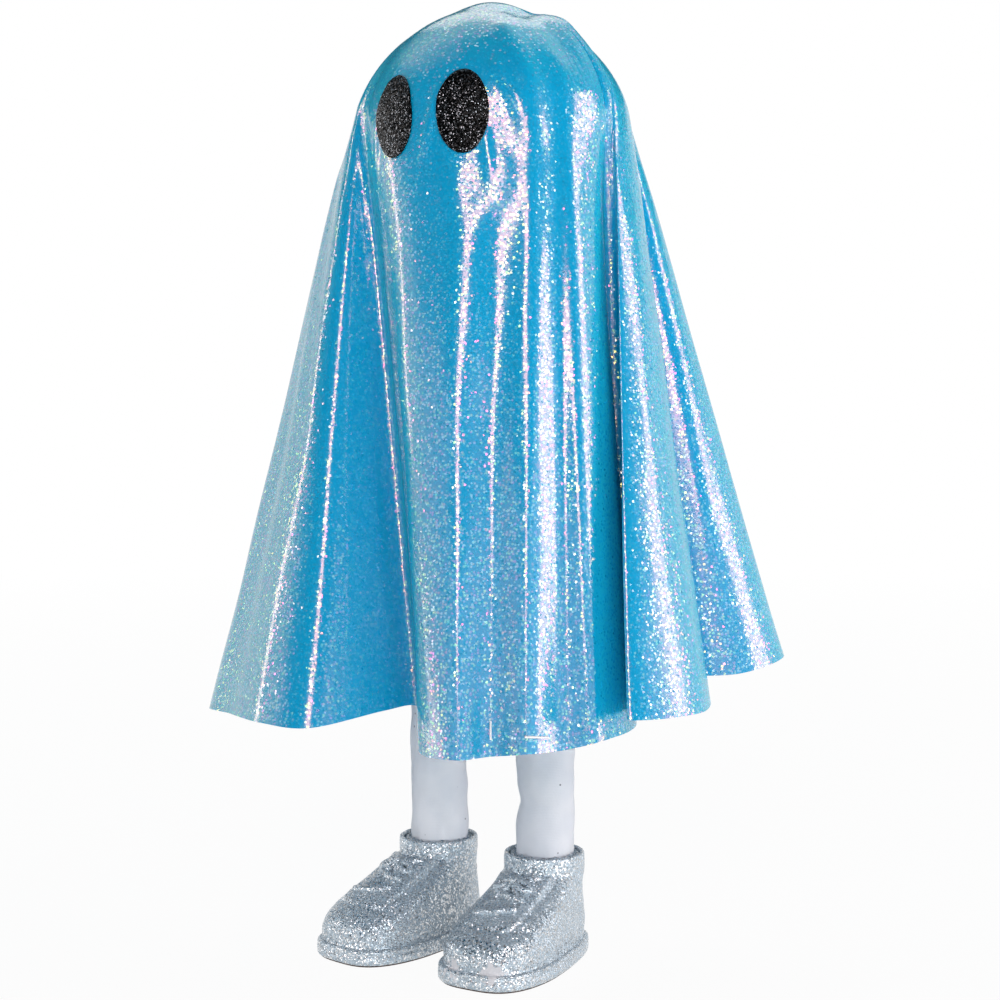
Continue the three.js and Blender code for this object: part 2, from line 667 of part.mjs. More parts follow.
legs.forEach(addBoot);
legs.forEach(addLeg);
add(figure, 'hip_block', hipBlock(), 0xb98f5c, 0.75, 0);
screws.forEach(({ name, x, height }) => {
  add(figure, name, screwShape(x, height, 0), 0xb8bcc0, 0.35, 0.9);
});
const dowel = rod(SPINE_DIAMETER / 2, spineBottom, headTop + SPINE_NUB);
add(figure, 'spine_dowel', cut(dowel, screwShape(0, spineScrewHeight, GAP)), ...WOOD);
const discTop = HEAD_CENTRE_HEIGHT - HEAD_RADIUS + HEAD_BOTTOM_CUT - GAP;
const discHole = SPINE_DIAMETER / 2 + GAP;
const disc = tube(discHole, NECK_DISC_DIAMETER / 2, discTop - NECK_DISC_THICKNESS, discTop);
add(figure, 'neck_disc', disc, 0xb98f5c, 0.75, 0);
add(figure, 'head_ball', headBall(), 0xf5f5f2, 0.9, 0);
add(figure, 'drape', drape(TACKS.map((tack) => tackParts(tack, GAP).stem)), 0x0096c8, 0.3, 0.4);
EYES.forEach((spot) => add(figure, spot.name, eye(spot), 0x0a0d10, 0.5, 0.1));
TACKS.forEach(addTack);

// The soles stand on the ground and the figure's box is centred over the origin
figure.updateMatrixWorld(true);
const box = new THREE.Box3().setFromObject(figure, true);
figure.position.set(-(box.min.x + box.max.x) / 2, -(box.min.y + box.max.y) / 2, -box.min.z);

export default figure;
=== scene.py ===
"""A sheet ghost: foil cloth draped over a ball head, glitter eyes, stuffed legs, glitter boots."""

import math

import bmesh
import bpy
import numpy as np
from bpy.props import FloatProperty, FloatVectorProperty, PointerProperty
from mathutils import Matrix, Vector, noise


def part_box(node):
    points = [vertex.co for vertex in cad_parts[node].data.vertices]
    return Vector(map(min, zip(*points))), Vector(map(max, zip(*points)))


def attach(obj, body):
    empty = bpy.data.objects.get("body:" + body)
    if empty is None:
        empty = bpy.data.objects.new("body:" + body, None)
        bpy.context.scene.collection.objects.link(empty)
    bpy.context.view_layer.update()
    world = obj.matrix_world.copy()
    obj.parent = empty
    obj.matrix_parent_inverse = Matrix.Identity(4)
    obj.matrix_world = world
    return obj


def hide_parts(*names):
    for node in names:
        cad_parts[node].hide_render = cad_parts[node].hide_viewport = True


bl_info = {
    "name": "Sheet Ghost Figure",
    "version": (1, 0, 0),
    "blender": (4, 5, 0),
    "location": "View3D > Sidebar > Ghost",
    "description": "Builds the visible pieces of a draped sheet ghost around its frame",
    "category": "Add Mesh",
}

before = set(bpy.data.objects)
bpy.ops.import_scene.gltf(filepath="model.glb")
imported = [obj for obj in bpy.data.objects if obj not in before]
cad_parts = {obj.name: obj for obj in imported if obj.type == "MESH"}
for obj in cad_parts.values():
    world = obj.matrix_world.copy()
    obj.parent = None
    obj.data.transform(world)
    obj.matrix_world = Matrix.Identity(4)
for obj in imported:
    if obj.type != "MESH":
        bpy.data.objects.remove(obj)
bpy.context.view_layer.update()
BODY = "root"
MM = 0.001
SIDES = ("left", "right")


def middle(node):
    low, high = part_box(node)
    return (low + high) / 2


# The spine's axis; the cloth, the eyes and the camera are measured from it
AXIS = Vector((middle("spine_dowel").x, middle("spine_dowel").y, 0))
HEAD_LOW, HEAD_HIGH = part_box("head_ball")

# Driving sizes of the drape in millimetres, as the frame's own
HEAD_RADIUS = (HEAD_HIGH.x - HEAD_LOW.x) / 2 / MM
HEAD_CENTRE_HEIGHT = HEAD_HIGH.z / MM - HEAD_RADIUS
CLOTH_EASE = 3.3
PLEAT_STANDOFF = 4.5
NUB_FLAT = 3
NUB_SLOPE = 24
NUB_LIFT = 3.1
HEM_TENSION = 0.5

# The hem: degrees from the face, distance out, height
HEM = (
    (-56, 144, 125), (-38, 140, 128.5), (-20, 144, 131), (-9, 137, 131), (-2.5, 100, 135),
    (2, 82, 135.5), (8, 92, 129), (13, 121, 121), (21.8, 134.5, 121), (28.4, 125, 121),
    (35.6, 134.5, 123.7), (44, 124, 123), (50.5, 129, 126.5), (63, 115, 127.5), (72, 100, 128.5),
    (77, 82, 131), (80.5, 94, 134), (73, 111, 136), (62, 127, 137.3), (55, 138.5, 137.6),
    (63, 141, 137), (76, 136.5, 136.6), (86, 121, 139), (95, 85, 143), (100, 128, 146),
    (114, 149, 151), (129, 134, 150), (138, 98, 147), (150, 141, 145), (169, 130, 141),
    (177, 86, 140), (187, 124, 138), (200, 143, 136.5), (213, 106, 134.5), (225, 139, 132.5),
    (243, 129, 130), (250, 88, 129), (262, 131, 127.5), (279, 145, 126), (290, 103, 125),
)
# Where the folds cross the ball: number of the hem point, degrees from the face
CROWN = (
    (0, -64), (1, -58.5), (2, -53.5), (3, -48.5), (4, -44), (5, -40), (6, -32), (7, -13), (8, 10),
    (9, 30), (10, 45), (12, 60), (13, 67), (15, 81), (17, 84), (19, 87), (20, 94), (22, 110),
    (25, 130), (40, 296),
)
SEAM_PLACE = 31
COLUMNS = 720
DOME_ROWS = 48
SKIRT_ROWS = 90

# Wrinkles: height and half width in mm, then places on the cloth as a position along the hem,
# in hem points, and mm down from the crown
WRINKLES = (
    (1.1, 2.6, ((7.85, 84), (7.8, 93), (7.65, 107), (7.45, 126))),
    (1.0, 2.3, ((8.79, 106), (8.87, 122), (8.95, 134))),
    (1.3, 3.2, ((8.9, 70), (9.29, 86), (9.8, 102))),
    (1.6, 8.5, ((9.25, 100), (9.07, 118), (9.17, 129), (9.04, 141), (8.78, 149), (8.62, 161),
                (8.58, 175), (8.62, 194), (8.64, 224), (8.6, 244), (8.67, 285))),
    (1.1, 8.0, ((7.95, 116), (8.11, 134), (8.18, 145), (8.21, 160), (8.2, 179), (8.14, 201),
                (8.06, 237), (8.0, 266), (7.94, 330))),
    (1.1, 8.0, ((5.0, 83), (2.75, 103), (0.5, 126), (0.65, 151), (0.85, 177), (1.02, 203),
                (1.17, 230), (1.31, 260), (1.5, 330))),
    (1.1, 8.0, ((3.5, 103), (2.25, 128), (2.4, 153), (2.34, 184), (2.32, 211), (2.36, 237),
                (2.47, 263), (2.61, 294), (2.9, 385))),
    (0.8, 2.4, ((4.9, 86), (6.2, 105), (5.95, 132))),
    (-1.0, 8.0, ((4.9, 112), (5.2, 154), (4.95, 181), (4.85, 220), (4.75, 257), (4.85, 315),
                 (4.98, 377))),
    (0.6, 4.0, ((9.92, 108), (9.98, 137), (9.9, 169), (9.77, 200), (9.67, 231), (9.56, 265),
                (9.46, 303), (9.4, 360))),
    (0.6, 4.0, ((10.2, 138), (10.23, 168), (10.17, 192), (10.08, 222), (10.02, 245),
                (9.98, 266), (9.94, 304), (9.73, 365))),
    (2.2, 7.5, ((9.1, 26), (9.23, 46), (9.4, 56), (9.58, 67), (9.81, 82), (9.85, 95),
                (10.02, 110), (10.17, 124), (10.4, 170))),
    (1.0, 7.0, ((20.06, 130), (20.33, 169), (20.29, 206), (20.21, 244), (20.27, 284),
                (20.27, 390))),
    (1.0, 7.0, ((24.4, 112), (24.15, 147), (24.15, 188), (24.1, 226), (24.04, 273), (23.9, 313),
                (23.79, 360))),
    (0.7, 2.2, ((6.7, 70), (6.5, 84))),
    (-2.0, 9.0, ((12.5, 14), (12.6, 30), (12.8, 48), (13, 64), (13.2, 88))),
    (-1.6, 3.2, ((20.0, 40), (19.5, 50), (18.9, 62), (18.7, 74),
                 (18.4, 84), (17.4, 98), (16.7, 112), (16.5, 160))),
)
# Ripples all round the cloth: how many, height in mm, phase, drift with the length down
RIPPLES = ((41, 0.12, 0.4, 0.011), (67, 0.08, 2.1, -0.017))
# The edge where the front layer laps over the side near the crown: it rises over this length
LAP_RISE = 18
LAP = (4.4, 1.4, ((19.9, 22), (19.8, 30), (19.5, 40), (19.0, 50), (18.4, 62), (18.2, 74),
                  (17.9, 84), (16.9, 98), (16.2, 112), (16.0, 160)))

# Each eye's name, degrees from the face and width; then what both share
EYES = (("left_eye", 16.8, 25.0), ("right_eye", -15.4, 25.0))
EYE_HEIGHT = 41.5
EYE_THICKNESS = 0.8
EYE_LIFT = 0.4
# How far above the ball's middle the eyes' middles lie
EYE_RISE = 7
EYE_FLAKE_TIP = 0.6
EYE_FLAKE_SHARE = (0.76, 0.84)
EYE_CELLS = 26

# The pins left in the hem: number, place in hem points, height above the hem, upright or not
TACKS = ((1, 9.0, 11.8, True), (2, 10.2, 7.3, False))
TACK_RADIUS = 0.55
TACK_STEM_RADIUS = 0.4
TACK_BAR = 13.5
TACK_PADDLE = 8.5
TACK_OUTER_GAP = 0.45
TACK_INNER_GAP = 1.2


# Settings

def linear(hex_colour):
    """An sRGB hex colour as linear red, green, blue and alpha."""
    parts = [int(hex_colour[i:i + 2], 16) / 255 for i in (1, 3, 5)]
    return tuple(p / 12.92 if p <= 0.04045 else ((p + 0.055) / 1.055) ** 2.4 for p in parts) + (1,)


def colour(name, description, hex_colour):
    return FloatVectorProperty(name=name, description=description, default=linear(hex_colour),
                               subtype="COLOR", size=4, min=0, max=1)


def length(name, description, millimetres):
    return FloatProperty(name=name, description=description, default=millimetres * MM,
                         unit="LENGTH", min=0)


class GhostClothSettings(bpy.types.PropertyGroup):
    # The ground's azure, then the paler cyan painted where the cloth turns away from the camera as a
    # painted sheen
    dye_and_sheen: colour("Dye", "Colour of the cloth under the foil", "#00A6DA")
    painted_sheen: colour("Turned dye", "Colour of the cloth where it turns away", "#20BEDC")
    foil_dot: colour("Foil dot", "Colour of the foil's dots", "#FFF6EC")
    dot_ground: colour("Dot ground", "Colour of a dot that doesn't flash", "#08BEF6")
    film_glint: colour("Film glint", "Colour of the film's own highlights", "#96624F")
    dot_spacing: length("Dot spacing", "Distance between the foil's dots", 1.4)
    eye: colour("Eyes", "Colour of the eyes' glitter sheet", "#020304")
    eye_flake: colour("Eye flakes", "Colour of the eyes' brighter flakes", "#7A7E84")
    eye_flake_width: length("Eye flake width", "Width of a flake on the eyes", 0.55)


class GhostLegSettings(bpy.types.PropertyGroup):
    jersey: colour("Jersey", "Colour of the legs' cloth", "#EEF3F8")
    mottle: colour("Mottle", "Colour of the cloth's duller patches", "#DFE6EE")


class GhostBootSettings(bpy.types.PropertyGroup):
    glitter: colour("Glitter", "Colour of the duller flakes", "#BCCEDA")
    flake: colour("Flake", "Colour of the brighter flakes", "#F2F4F6")
    flake_width: length("Flake width", "Width of a glitter flake", 0.68)
    outsole: colour("Outsole", "Colour of the thin outsole", "#3A2A22")


class GhostStageSettings(bpy.types.PropertyGroup):
    floor: colour("Floor", "Colour of the floor", "#F4F4F4")
    distance: length("Camera distance", "Distance from the spine to the camera", 975.4)
    height: length("Camera height", "Height of the camera above the floor", 288.8)


# Materials

def add_node(tree, kind, inputs=None, **settings):
    """Adds a node. An input is given by name or number, as a value or as another node's socket."""
    node = tree.nodes.new(kind)
    for key, value in settings.items():
        setattr(node, key, value)
    for key, value in (inputs or {}).items():
        if isinstance(value, bpy.types.NodeSocket):
            tree.links.new(value, node.inputs[key])
        else:
            node.inputs[key].default_value = value
    return node


def new_material(name, surface):
    """An empty material with its shader, and the socket of its own object coordinates."""
    material = bpy.data.materials.new(name)
    material.use_nodes = True
    tree = material.node_tree
    tree.nodes.clear()
    shader = add_node(tree, "ShaderNodeBsdfPrincipled", surface)
    output = add_node(tree, "ShaderNodeOutputMaterial")
    tree.links.new(shader.outputs[0], output.inputs[0])
    where = add_node(tree, "ShaderNodeTexCoord").outputs["Object"]
    return material, tree, shader, where


def feed(shader, name, socket):
    shader.id_data.links.new(socket, shader.inputs[name])


def cells(tree, where, size):
    """Random cells about size apart."""
    return add_node(tree, "ShaderNodeTexVoronoi", {"Vector": where, "Scale": 1 / size},
                    voronoi_dimensions="3D", feature="F1")


def random_parts(tree, found):
    """Three random numbers for each of the cells found."""
    return add_node(tree, "ShaderNodeSeparateColor", {0: found.outputs["Color"]}).outputs


def cloud(tree, where, size, detail=2.0):
    return add_node(tree, "ShaderNodeTexNoise",
                    {"Vector": where, "Scale": 1 / size, "Detail": detail}).outputs[0]


def spread(tree, value, low, high, to_low=0.0, to_high=1.0):
    """value, taken from low..high to to_low..to_high and held there."""
    return add_node(tree, "ShaderNodeMapRange", {0: value, 1: low, 2: high, 3: to_low, 4: to_high},
                    clamp=True).outputs[0]


def blend(tree, share, first, second, mode="MIX"):
    node = add_node(tree, "ShaderNodeMix", {0: share, 6: first, 7: second},
                    data_type="RGBA", blend_type=mode)
    return node.outputs[2]


def sums(tree, operation, first, second):
    return add_node(tree, "ShaderNodeMath", {0: first, 1: second}, operation=operation).outputs[0]


def vectors(tree, operation, inputs, answer="Vector"):
    return add_node(tree, "ShaderNodeVectorMath", inputs, operation=operation).outputs[answer]


def tilted(tree, normal, random_colour, amount):
    """A normal tipped at random by amount, which may vary."""
    centred = vectors(tree, "SUBTRACT", {0: random_colour, 1: (0.5, 0.5, 0.5)})
    tip = vectors(tree, "SCALE", {0: centred, "Scale": amount})
    return vectors(tree, "NORMALIZE", {0: vectors(tree, "ADD", {0: normal, 1: tip})})


def ribs(tree, direction, inputs):
    """Parallel bands across a direction."""
    return add_node(tree, "ShaderNodeTexWave", inputs, wave_type="BANDS",
                    bands_direction=direction).outputs[1]


def bumped(tree, height, distance, strength=1.0):
    return add_node(tree, "ShaderNodeBump",
                    {"Height": height, "Distance": distance, "Strength": strength}).outputs[0]


def foil_cloth(settings):
    """Stretch knit with a clear printed foil: a dyed ground, painted paler cyan where it turns away from
    the camera as a painted sheen, under a glossy film, strewn with round dots about 1.3 mm wide that
    each throw back a colour of their own at their own angle."""
    material, tree, shader, where = new_material("foil_printed_knit", {
        "Specular IOR Level": 1.0, "IOR": 2.2, "Coat Weight": 0.35, "Coat IOR": 1.6,
        "Coat Roughness": 0.12})
    dots = cells(tree, where, settings.dot_spacing)
    dot = spread(tree, dots.outputs["Distance"], 0.42, 0.52, 1, 0)
    parts = random_parts(tree, dots)
    # The film glints dull pink; its dots pink, yellow or green, some of them nearly white
    hue = add_node(tree, "ShaderNodeHueSaturation",
                   {"Hue": spread(tree, parts[0], 0, 1, 0.34, 0.68),
                    "Saturation": 1.0, "Value": 1.0,
                    "Color": linear("#FFC470")}).outputs[0]
    tint = blend(tree, spread(tree, parts[1], 0.45, 1.0), hue, settings.foil_dot)
    feed(shader, "Specular Tint", blend(tree, dot, settings.film_glint, tint))
    # The ground is azure seen straight on; where it turns away from the camera it is painted paler cyan,
    # a painted sheen
    sheen_share = add_node(tree, "ShaderNodeLayerWeight", {0: 0.5}).outputs["Facing"]
    dye_and_sheen = blend(tree, spread(tree, sheen_share, 0.2, 0.6), settings.dye_and_sheen, settings.painted_sheen)
    cover = sums(tree, "MULTIPLY", dot, 0.85)
    feed(shader, "Base Color", blend(tree, cover, dye_and_sheen, settings.dot_ground))
    dot_rough = spread(tree, parts[0], 0, 1, 0.14, 0.22)
    feed(shader, "Roughness",
         add_node(tree, "ShaderNodeMix", {0: dot, 2: 0.18, 3: dot_rough}).outputs[0])
    # Knit ribs 1.5 mm apart run slantwise
    flat = add_node(tree, "ShaderNodeUVMap", uv_map="Cut").outputs[0]
    rib = ribs(tree, "DIAGONAL", {"Vector": flat, "Scale": 0.3 / MM, "Distortion": 1.5,
                                  "Detail": 1.0, "Detail Scale": 2.0})
    grain = cloud(tree, where, 0.7 * MM, 1.0)
    relief = sums(tree, "ADD", sums(tree, "MULTIPLY", rib, 0.4), grain)
    knit = bumped(tree, relief, 0.05 * MM, spread(tree, dot, 0, 1, 0.3, 0.1))
    lean = sums(tree, "MULTIPLY", dot, spread(tree, parts[2], 0.35, 1, 0.12, 0.68))
    feed(shader, "Normal", tilted(tree, knit, dots.outputs["Color"], lean))
    feed(shader, "Coat Normal", bumped(tree, relief, 0.05 * MM, 0.08))
    return material


def glitter(name, ground, flake_colour, flake_size, tip, bright, gloss=0.5, worn=()):
    """Craft glitter glued on: square-cut flakes of metallised film, each lying at its own
    tilt, so that a few flash white while their neighbours stay dark. bright is the range of a
    flake's random number in which it goes from the ground's colour to its own. The coat has
    rubbed off in patches round the worn points, down to the smooth pale primer."""
    material, tree, shader, where = new_material(name, {"Specular IOR Level": gloss})
    flakes = cells(tree, where, flake_size)
    parts = random_parts(tree, flakes)
    shade = spread(tree, parts[1], *bright)
    base = blend(tree, shade, ground, flake_colour)
    dimmed = spread(tree, parts[0], 0, 1, 0.82, 1)
    base = blend(tree, 1.0, base, add_node(tree, "ShaderNodeCombineColor", {
        0: dimmed, 1: dimmed, 2: dimmed}).outputs[0], "MULTIPLY")
    metal = spread(tree, shade, 0, 1, 0.25, 1.0)
    edge = spread(tree, flakes.outputs["Distance"], 0.1, 0.75, 1, 0)
    relief = bumped(tree, edge, 0.12 * MM, 0.35)
    if worn:
        near = 0.0
        for spot in worn:
            reach = vectors(tree, "DISTANCE", {0: where, 1: spot}, "Value")
            near = sums(tree, "MAXIMUM", near, spread(tree, reach, 3 * MM, 13 * MM, 1, 0))
        patch = sums(tree, "MULTIPLY", near, cloud(tree, where, 3.5 * MM, 3.0))
        bare = spread(tree, patch, 0.38, 0.43)
        base = blend(tree, bare, base, linear("#DDE0E5"))
        metal = sums(tree, "MULTIPLY", metal, sums(tree, "SUBTRACT", 1.0, bare))
        tip = spread(tree, bare, 0, 1, tip, 0)
    feed(shader, "Base Color", base)
    feed(shader, "Metallic", metal)
    feed(shader, "Roughness", spread(tree, parts[2], 0, 1, 0.12, 0.34))
    feed(shader, "Normal", tilted(tree, relief, flakes.outputs["Color"], tip))
    return material


def jersey(settings):
    """Cotton jersey over stuffing: matt, off-white, with a fine rib and a soft fuzz."""
    material, tree, shader, where = new_material("cotton_jersey", {
        "Roughness": 0.9, "Sheen Weight": 0.25, "Sheen Roughness": 0.6,
        "Specular IOR Level": 0.25})
    mottle = spread(tree, cloud(tree, where, 0.02, 3.0), 0.3, 0.7)
    cloth = blend(tree, mottle, settings.mottle, settings.jersey)
    # A few pinholes are left from the sewing; each is painted grey, a painted shade inside the hole
    holes = cells(tree, where, 7 * MM)
    parts = random_parts(tree, holes)
    painted_hole_shade = sums(tree, "MULTIPLY", spread(tree, holes.outputs["Distance"], 0.05, 0.09, 1, 0),
                spread(tree, parts[0], 0.7, 0.72))
    feed(shader, "Base Color", blend(tree, painted_hole_shade, cloth, linear("#7A8088")))
    # Ribs 0.8 mm apart
    rib = ribs(tree, "Z", {"Vector": where, "Scale": 0.4 / MM, "Distortion": 0.8})
    relief = sums(tree, "ADD", sums(tree, "MULTIPLY", rib, 0.4), cloud(tree, where, 1.2 * MM, 2.0))
    feed(shader, "Normal", bumped(tree, relief, 0.12 * MM, 0.5))
    return material


def sawn_wood():
    """Pine and beech turned and sawn, unfinished: pale, matt, with grain along the dowels."""
    material, tree, shader, where = new_material("unfinished_pine", {"Roughness": 0.65})
    along = add_node(tree, "ShaderNodeMapping", {"Vector": where, "Scale": (1, 1, 0.08)}).outputs[0]
    rings = ribs(tree, "X", {"Vector": along, "Scale": 0.1 / MM, "Distortion": 6.0, "Detail": 3.0})
    feed(shader, "Base Color", blend(tree, rings, linear("#D8B883"), linear("#B98F5C")))
    fibre = cloud(tree, along, 0.8 * MM, 3.0)
    feed(shader, "Normal", bumped(tree, fibre, 0.15 * MM, 0.4))
    return material


def moulded_foam():
    """Expanded polystyrene: white beads 3 mm wide pressed together."""
    material, tree, shader, where = new_material("bead_foam", {"Roughness": 0.8})
    beads = cells(tree, where, 3 * MM)
    wall = spread(tree, beads.outputs["Distance"], 0.3, 0.7)
    # The grooves between the beads are painted greyer than the beads, a painted shade in the grooves
    feed(shader, "Base Color", blend(tree, wall, linear("#F6F6F3"), linear("#E4E4E0")))
    feed(shader, "Normal", bumped(tree, sums(tree, "SUBTRACT", 1.0, wall), 0.4 * MM))
    return material


def zinc_steel():
    """Zinc-plated screw steel: bright grey, slightly cloudy."""
    material, tree, shader, where = new_material("zinc_plated_steel", {"Metallic": 1.0})
    haze = cloud(tree, where, 2 * MM)
    feed(shader, "Base Color", blend(tree, haze, linear("#B9BDC2"), linear("#D5D8DB")))
    feed(shader, "Roughness", spread(tree, haze, 0.3, 0.7, 0.28, 0.42))
    return material


def cast_plaster():
    """Plaster of Paris poured into the boot: chalky, with small air holes."""
    material, tree, shader, where = new_material("cast_plaster", {"Roughness": 0.95})
    pits_and_shade = spread(tree, cells(tree, where, 2.5 * MM).outputs["Distance"], 0.1, 0.25)
    # The air holes are painted darker than the plaster round them, a painted shade in the holes
    feed(shader, "Base Color", blend(tree, pits_and_shade, linear("#B9B4AB"), linear("#D9D5CC")))
    feed(shader, "Normal", bumped(tree, pits_and_shade, 0.3 * MM))
    return material


def outsole_rubber(settings):
    """Dyed crepe rubber: matt brown with a fine open grain."""
    material, tree, shader, where = new_material("crepe_rubber", {"Roughness": 0.8})
    grain = cloud(tree, where, 1.1 * MM, 3.0)
    feed(shader, "Base Color", blend(tree, grain, settings.outsole, linear("#4C3A30")))
    feed(shader, "Normal", bumped(tree, grain, 0.25 * MM))
    return material


def tack_plastic():
    """Moulded polypropylene: milky, smooth, with faint flow marks."""
    material, tree, shader, where = new_material("moulded_polypropylene", {
        "Subsurface Weight": 0.3, "Subsurface Radius": (0.001, 0.001, 0.001),
        "Specular IOR Level": 0.5})
    flow = cloud(tree, where, 1.5 * MM)
    feed(shader, "Base Color", blend(tree, flow, linear("#E9EEF2"), linear("#FBFCFC")))
    feed(shader, "Roughness", spread(tree, flow, 0.3, 0.7, 0.25, 0.38))
    return material


def grosgrain():
    """Grey ribbon of the heel tab: ribs across, dusted with stray glitter."""
    material, tree, shader, where = new_material("grosgrain_ribbon", {"Roughness": 0.75})
    rib = ribs(tree, "Z", {"Vector": where, "Scale": 0.5 / MM})
    specks = cells(tree, where, 0.9 * MM)
    parts = random_parts(tree, specks)
    dust = spread(tree, parts[0], 0.72, 0.8)
    # The ribs are painted lighter on their crests and darker between them, a painted highlight and a
    # painted shade
    base = blend(tree, rib, linear("#6E777E"), linear("#8E979D"))
    feed(shader, "Base Color", blend(tree, dust, base, linear("#DDE3E8")))
    feed(shader, "Normal", bumped(tree, rib, 0.2 * MM))
    return material


# Mesh helpers

def finished(name, bm, material, replaced):
    """Makes the piece, gives it its material and seats it on the body."""
    mesh = bpy.data.meshes.new(name)
    bm.to_mesh(mesh)
    bm.free()
    mesh.polygons.foreach_set("use_smooth", [True] * len(mesh.polygons))
    piece = bpy.data.objects.new(name, mesh)
    bpy.context.scene.collection.objects.link(piece)
    mesh.materials.append(material)
    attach(piece, BODY)
    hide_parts(*replaced)
    return piece


def ring(bm, points):
    """A closed loop of edges through points."""
    verts = bmesh.ops.create_circle(bm, segments=len(points), radius=1, cap_ends=False)["verts"]
    for vert, point in zip(verts, points):
        vert.co = point
    return list({edge for vert in verts for edge in vert.link_edges})


def loft(rings, closed=True):
    """A skin bridged over rings of points, with its two ends filled."""
    bm = bmesh.new()
    loops = [ring(bm, points) for points in rings]
    for lower, upper in zip(loops, loops[1:]):
        bmesh.ops.bridge_loops(bm, edges=lower + upper)
    if closed:
        for end in (loops[0], loops[-1]):
            bmesh.ops.contextual_create(bm, geom=end)
    bmesh.ops.recalc_face_normals(bm, faces=bm.faces)
    return bm


def add_modifier(piece, kind, **settings):
    modifier = piece.modifiers.new(kind.title(), kind)
    for key, value in settings.items():
        setattr(modifier, key, value)


def smooth_step(value, low, high):
    share = np.clip((value - low) / (high - low), 0, 1)
    return share * share * (3 - 2 * share)


# The drape

def hem_at(place):
    """Points on the hem's curve at places counted in hem points."""
    degrees, out, height = np.array(HEM, float).T
    angle = np.radians(degrees)
    rows = np.stack([out * np.sin(angle), -out * np.cos(angle), height], 1)
    below = np.floor(place).astype(int)
    part = (place - below)[:, None]
    before, here, ahead, after = (rows[(below + step) % len(rows)] for step in (-1, 0, 1, 2))
    leave, arrive = HEM_TENSION * (ahead - before), HEM_TENSION * (after - here)
    return ((2 * here - 2 * ahead + leave + arrive) * part ** 3
            + (3 * ahead - 3 * here - 2 * leave - arrive) * part ** 2 + leave * part + here)


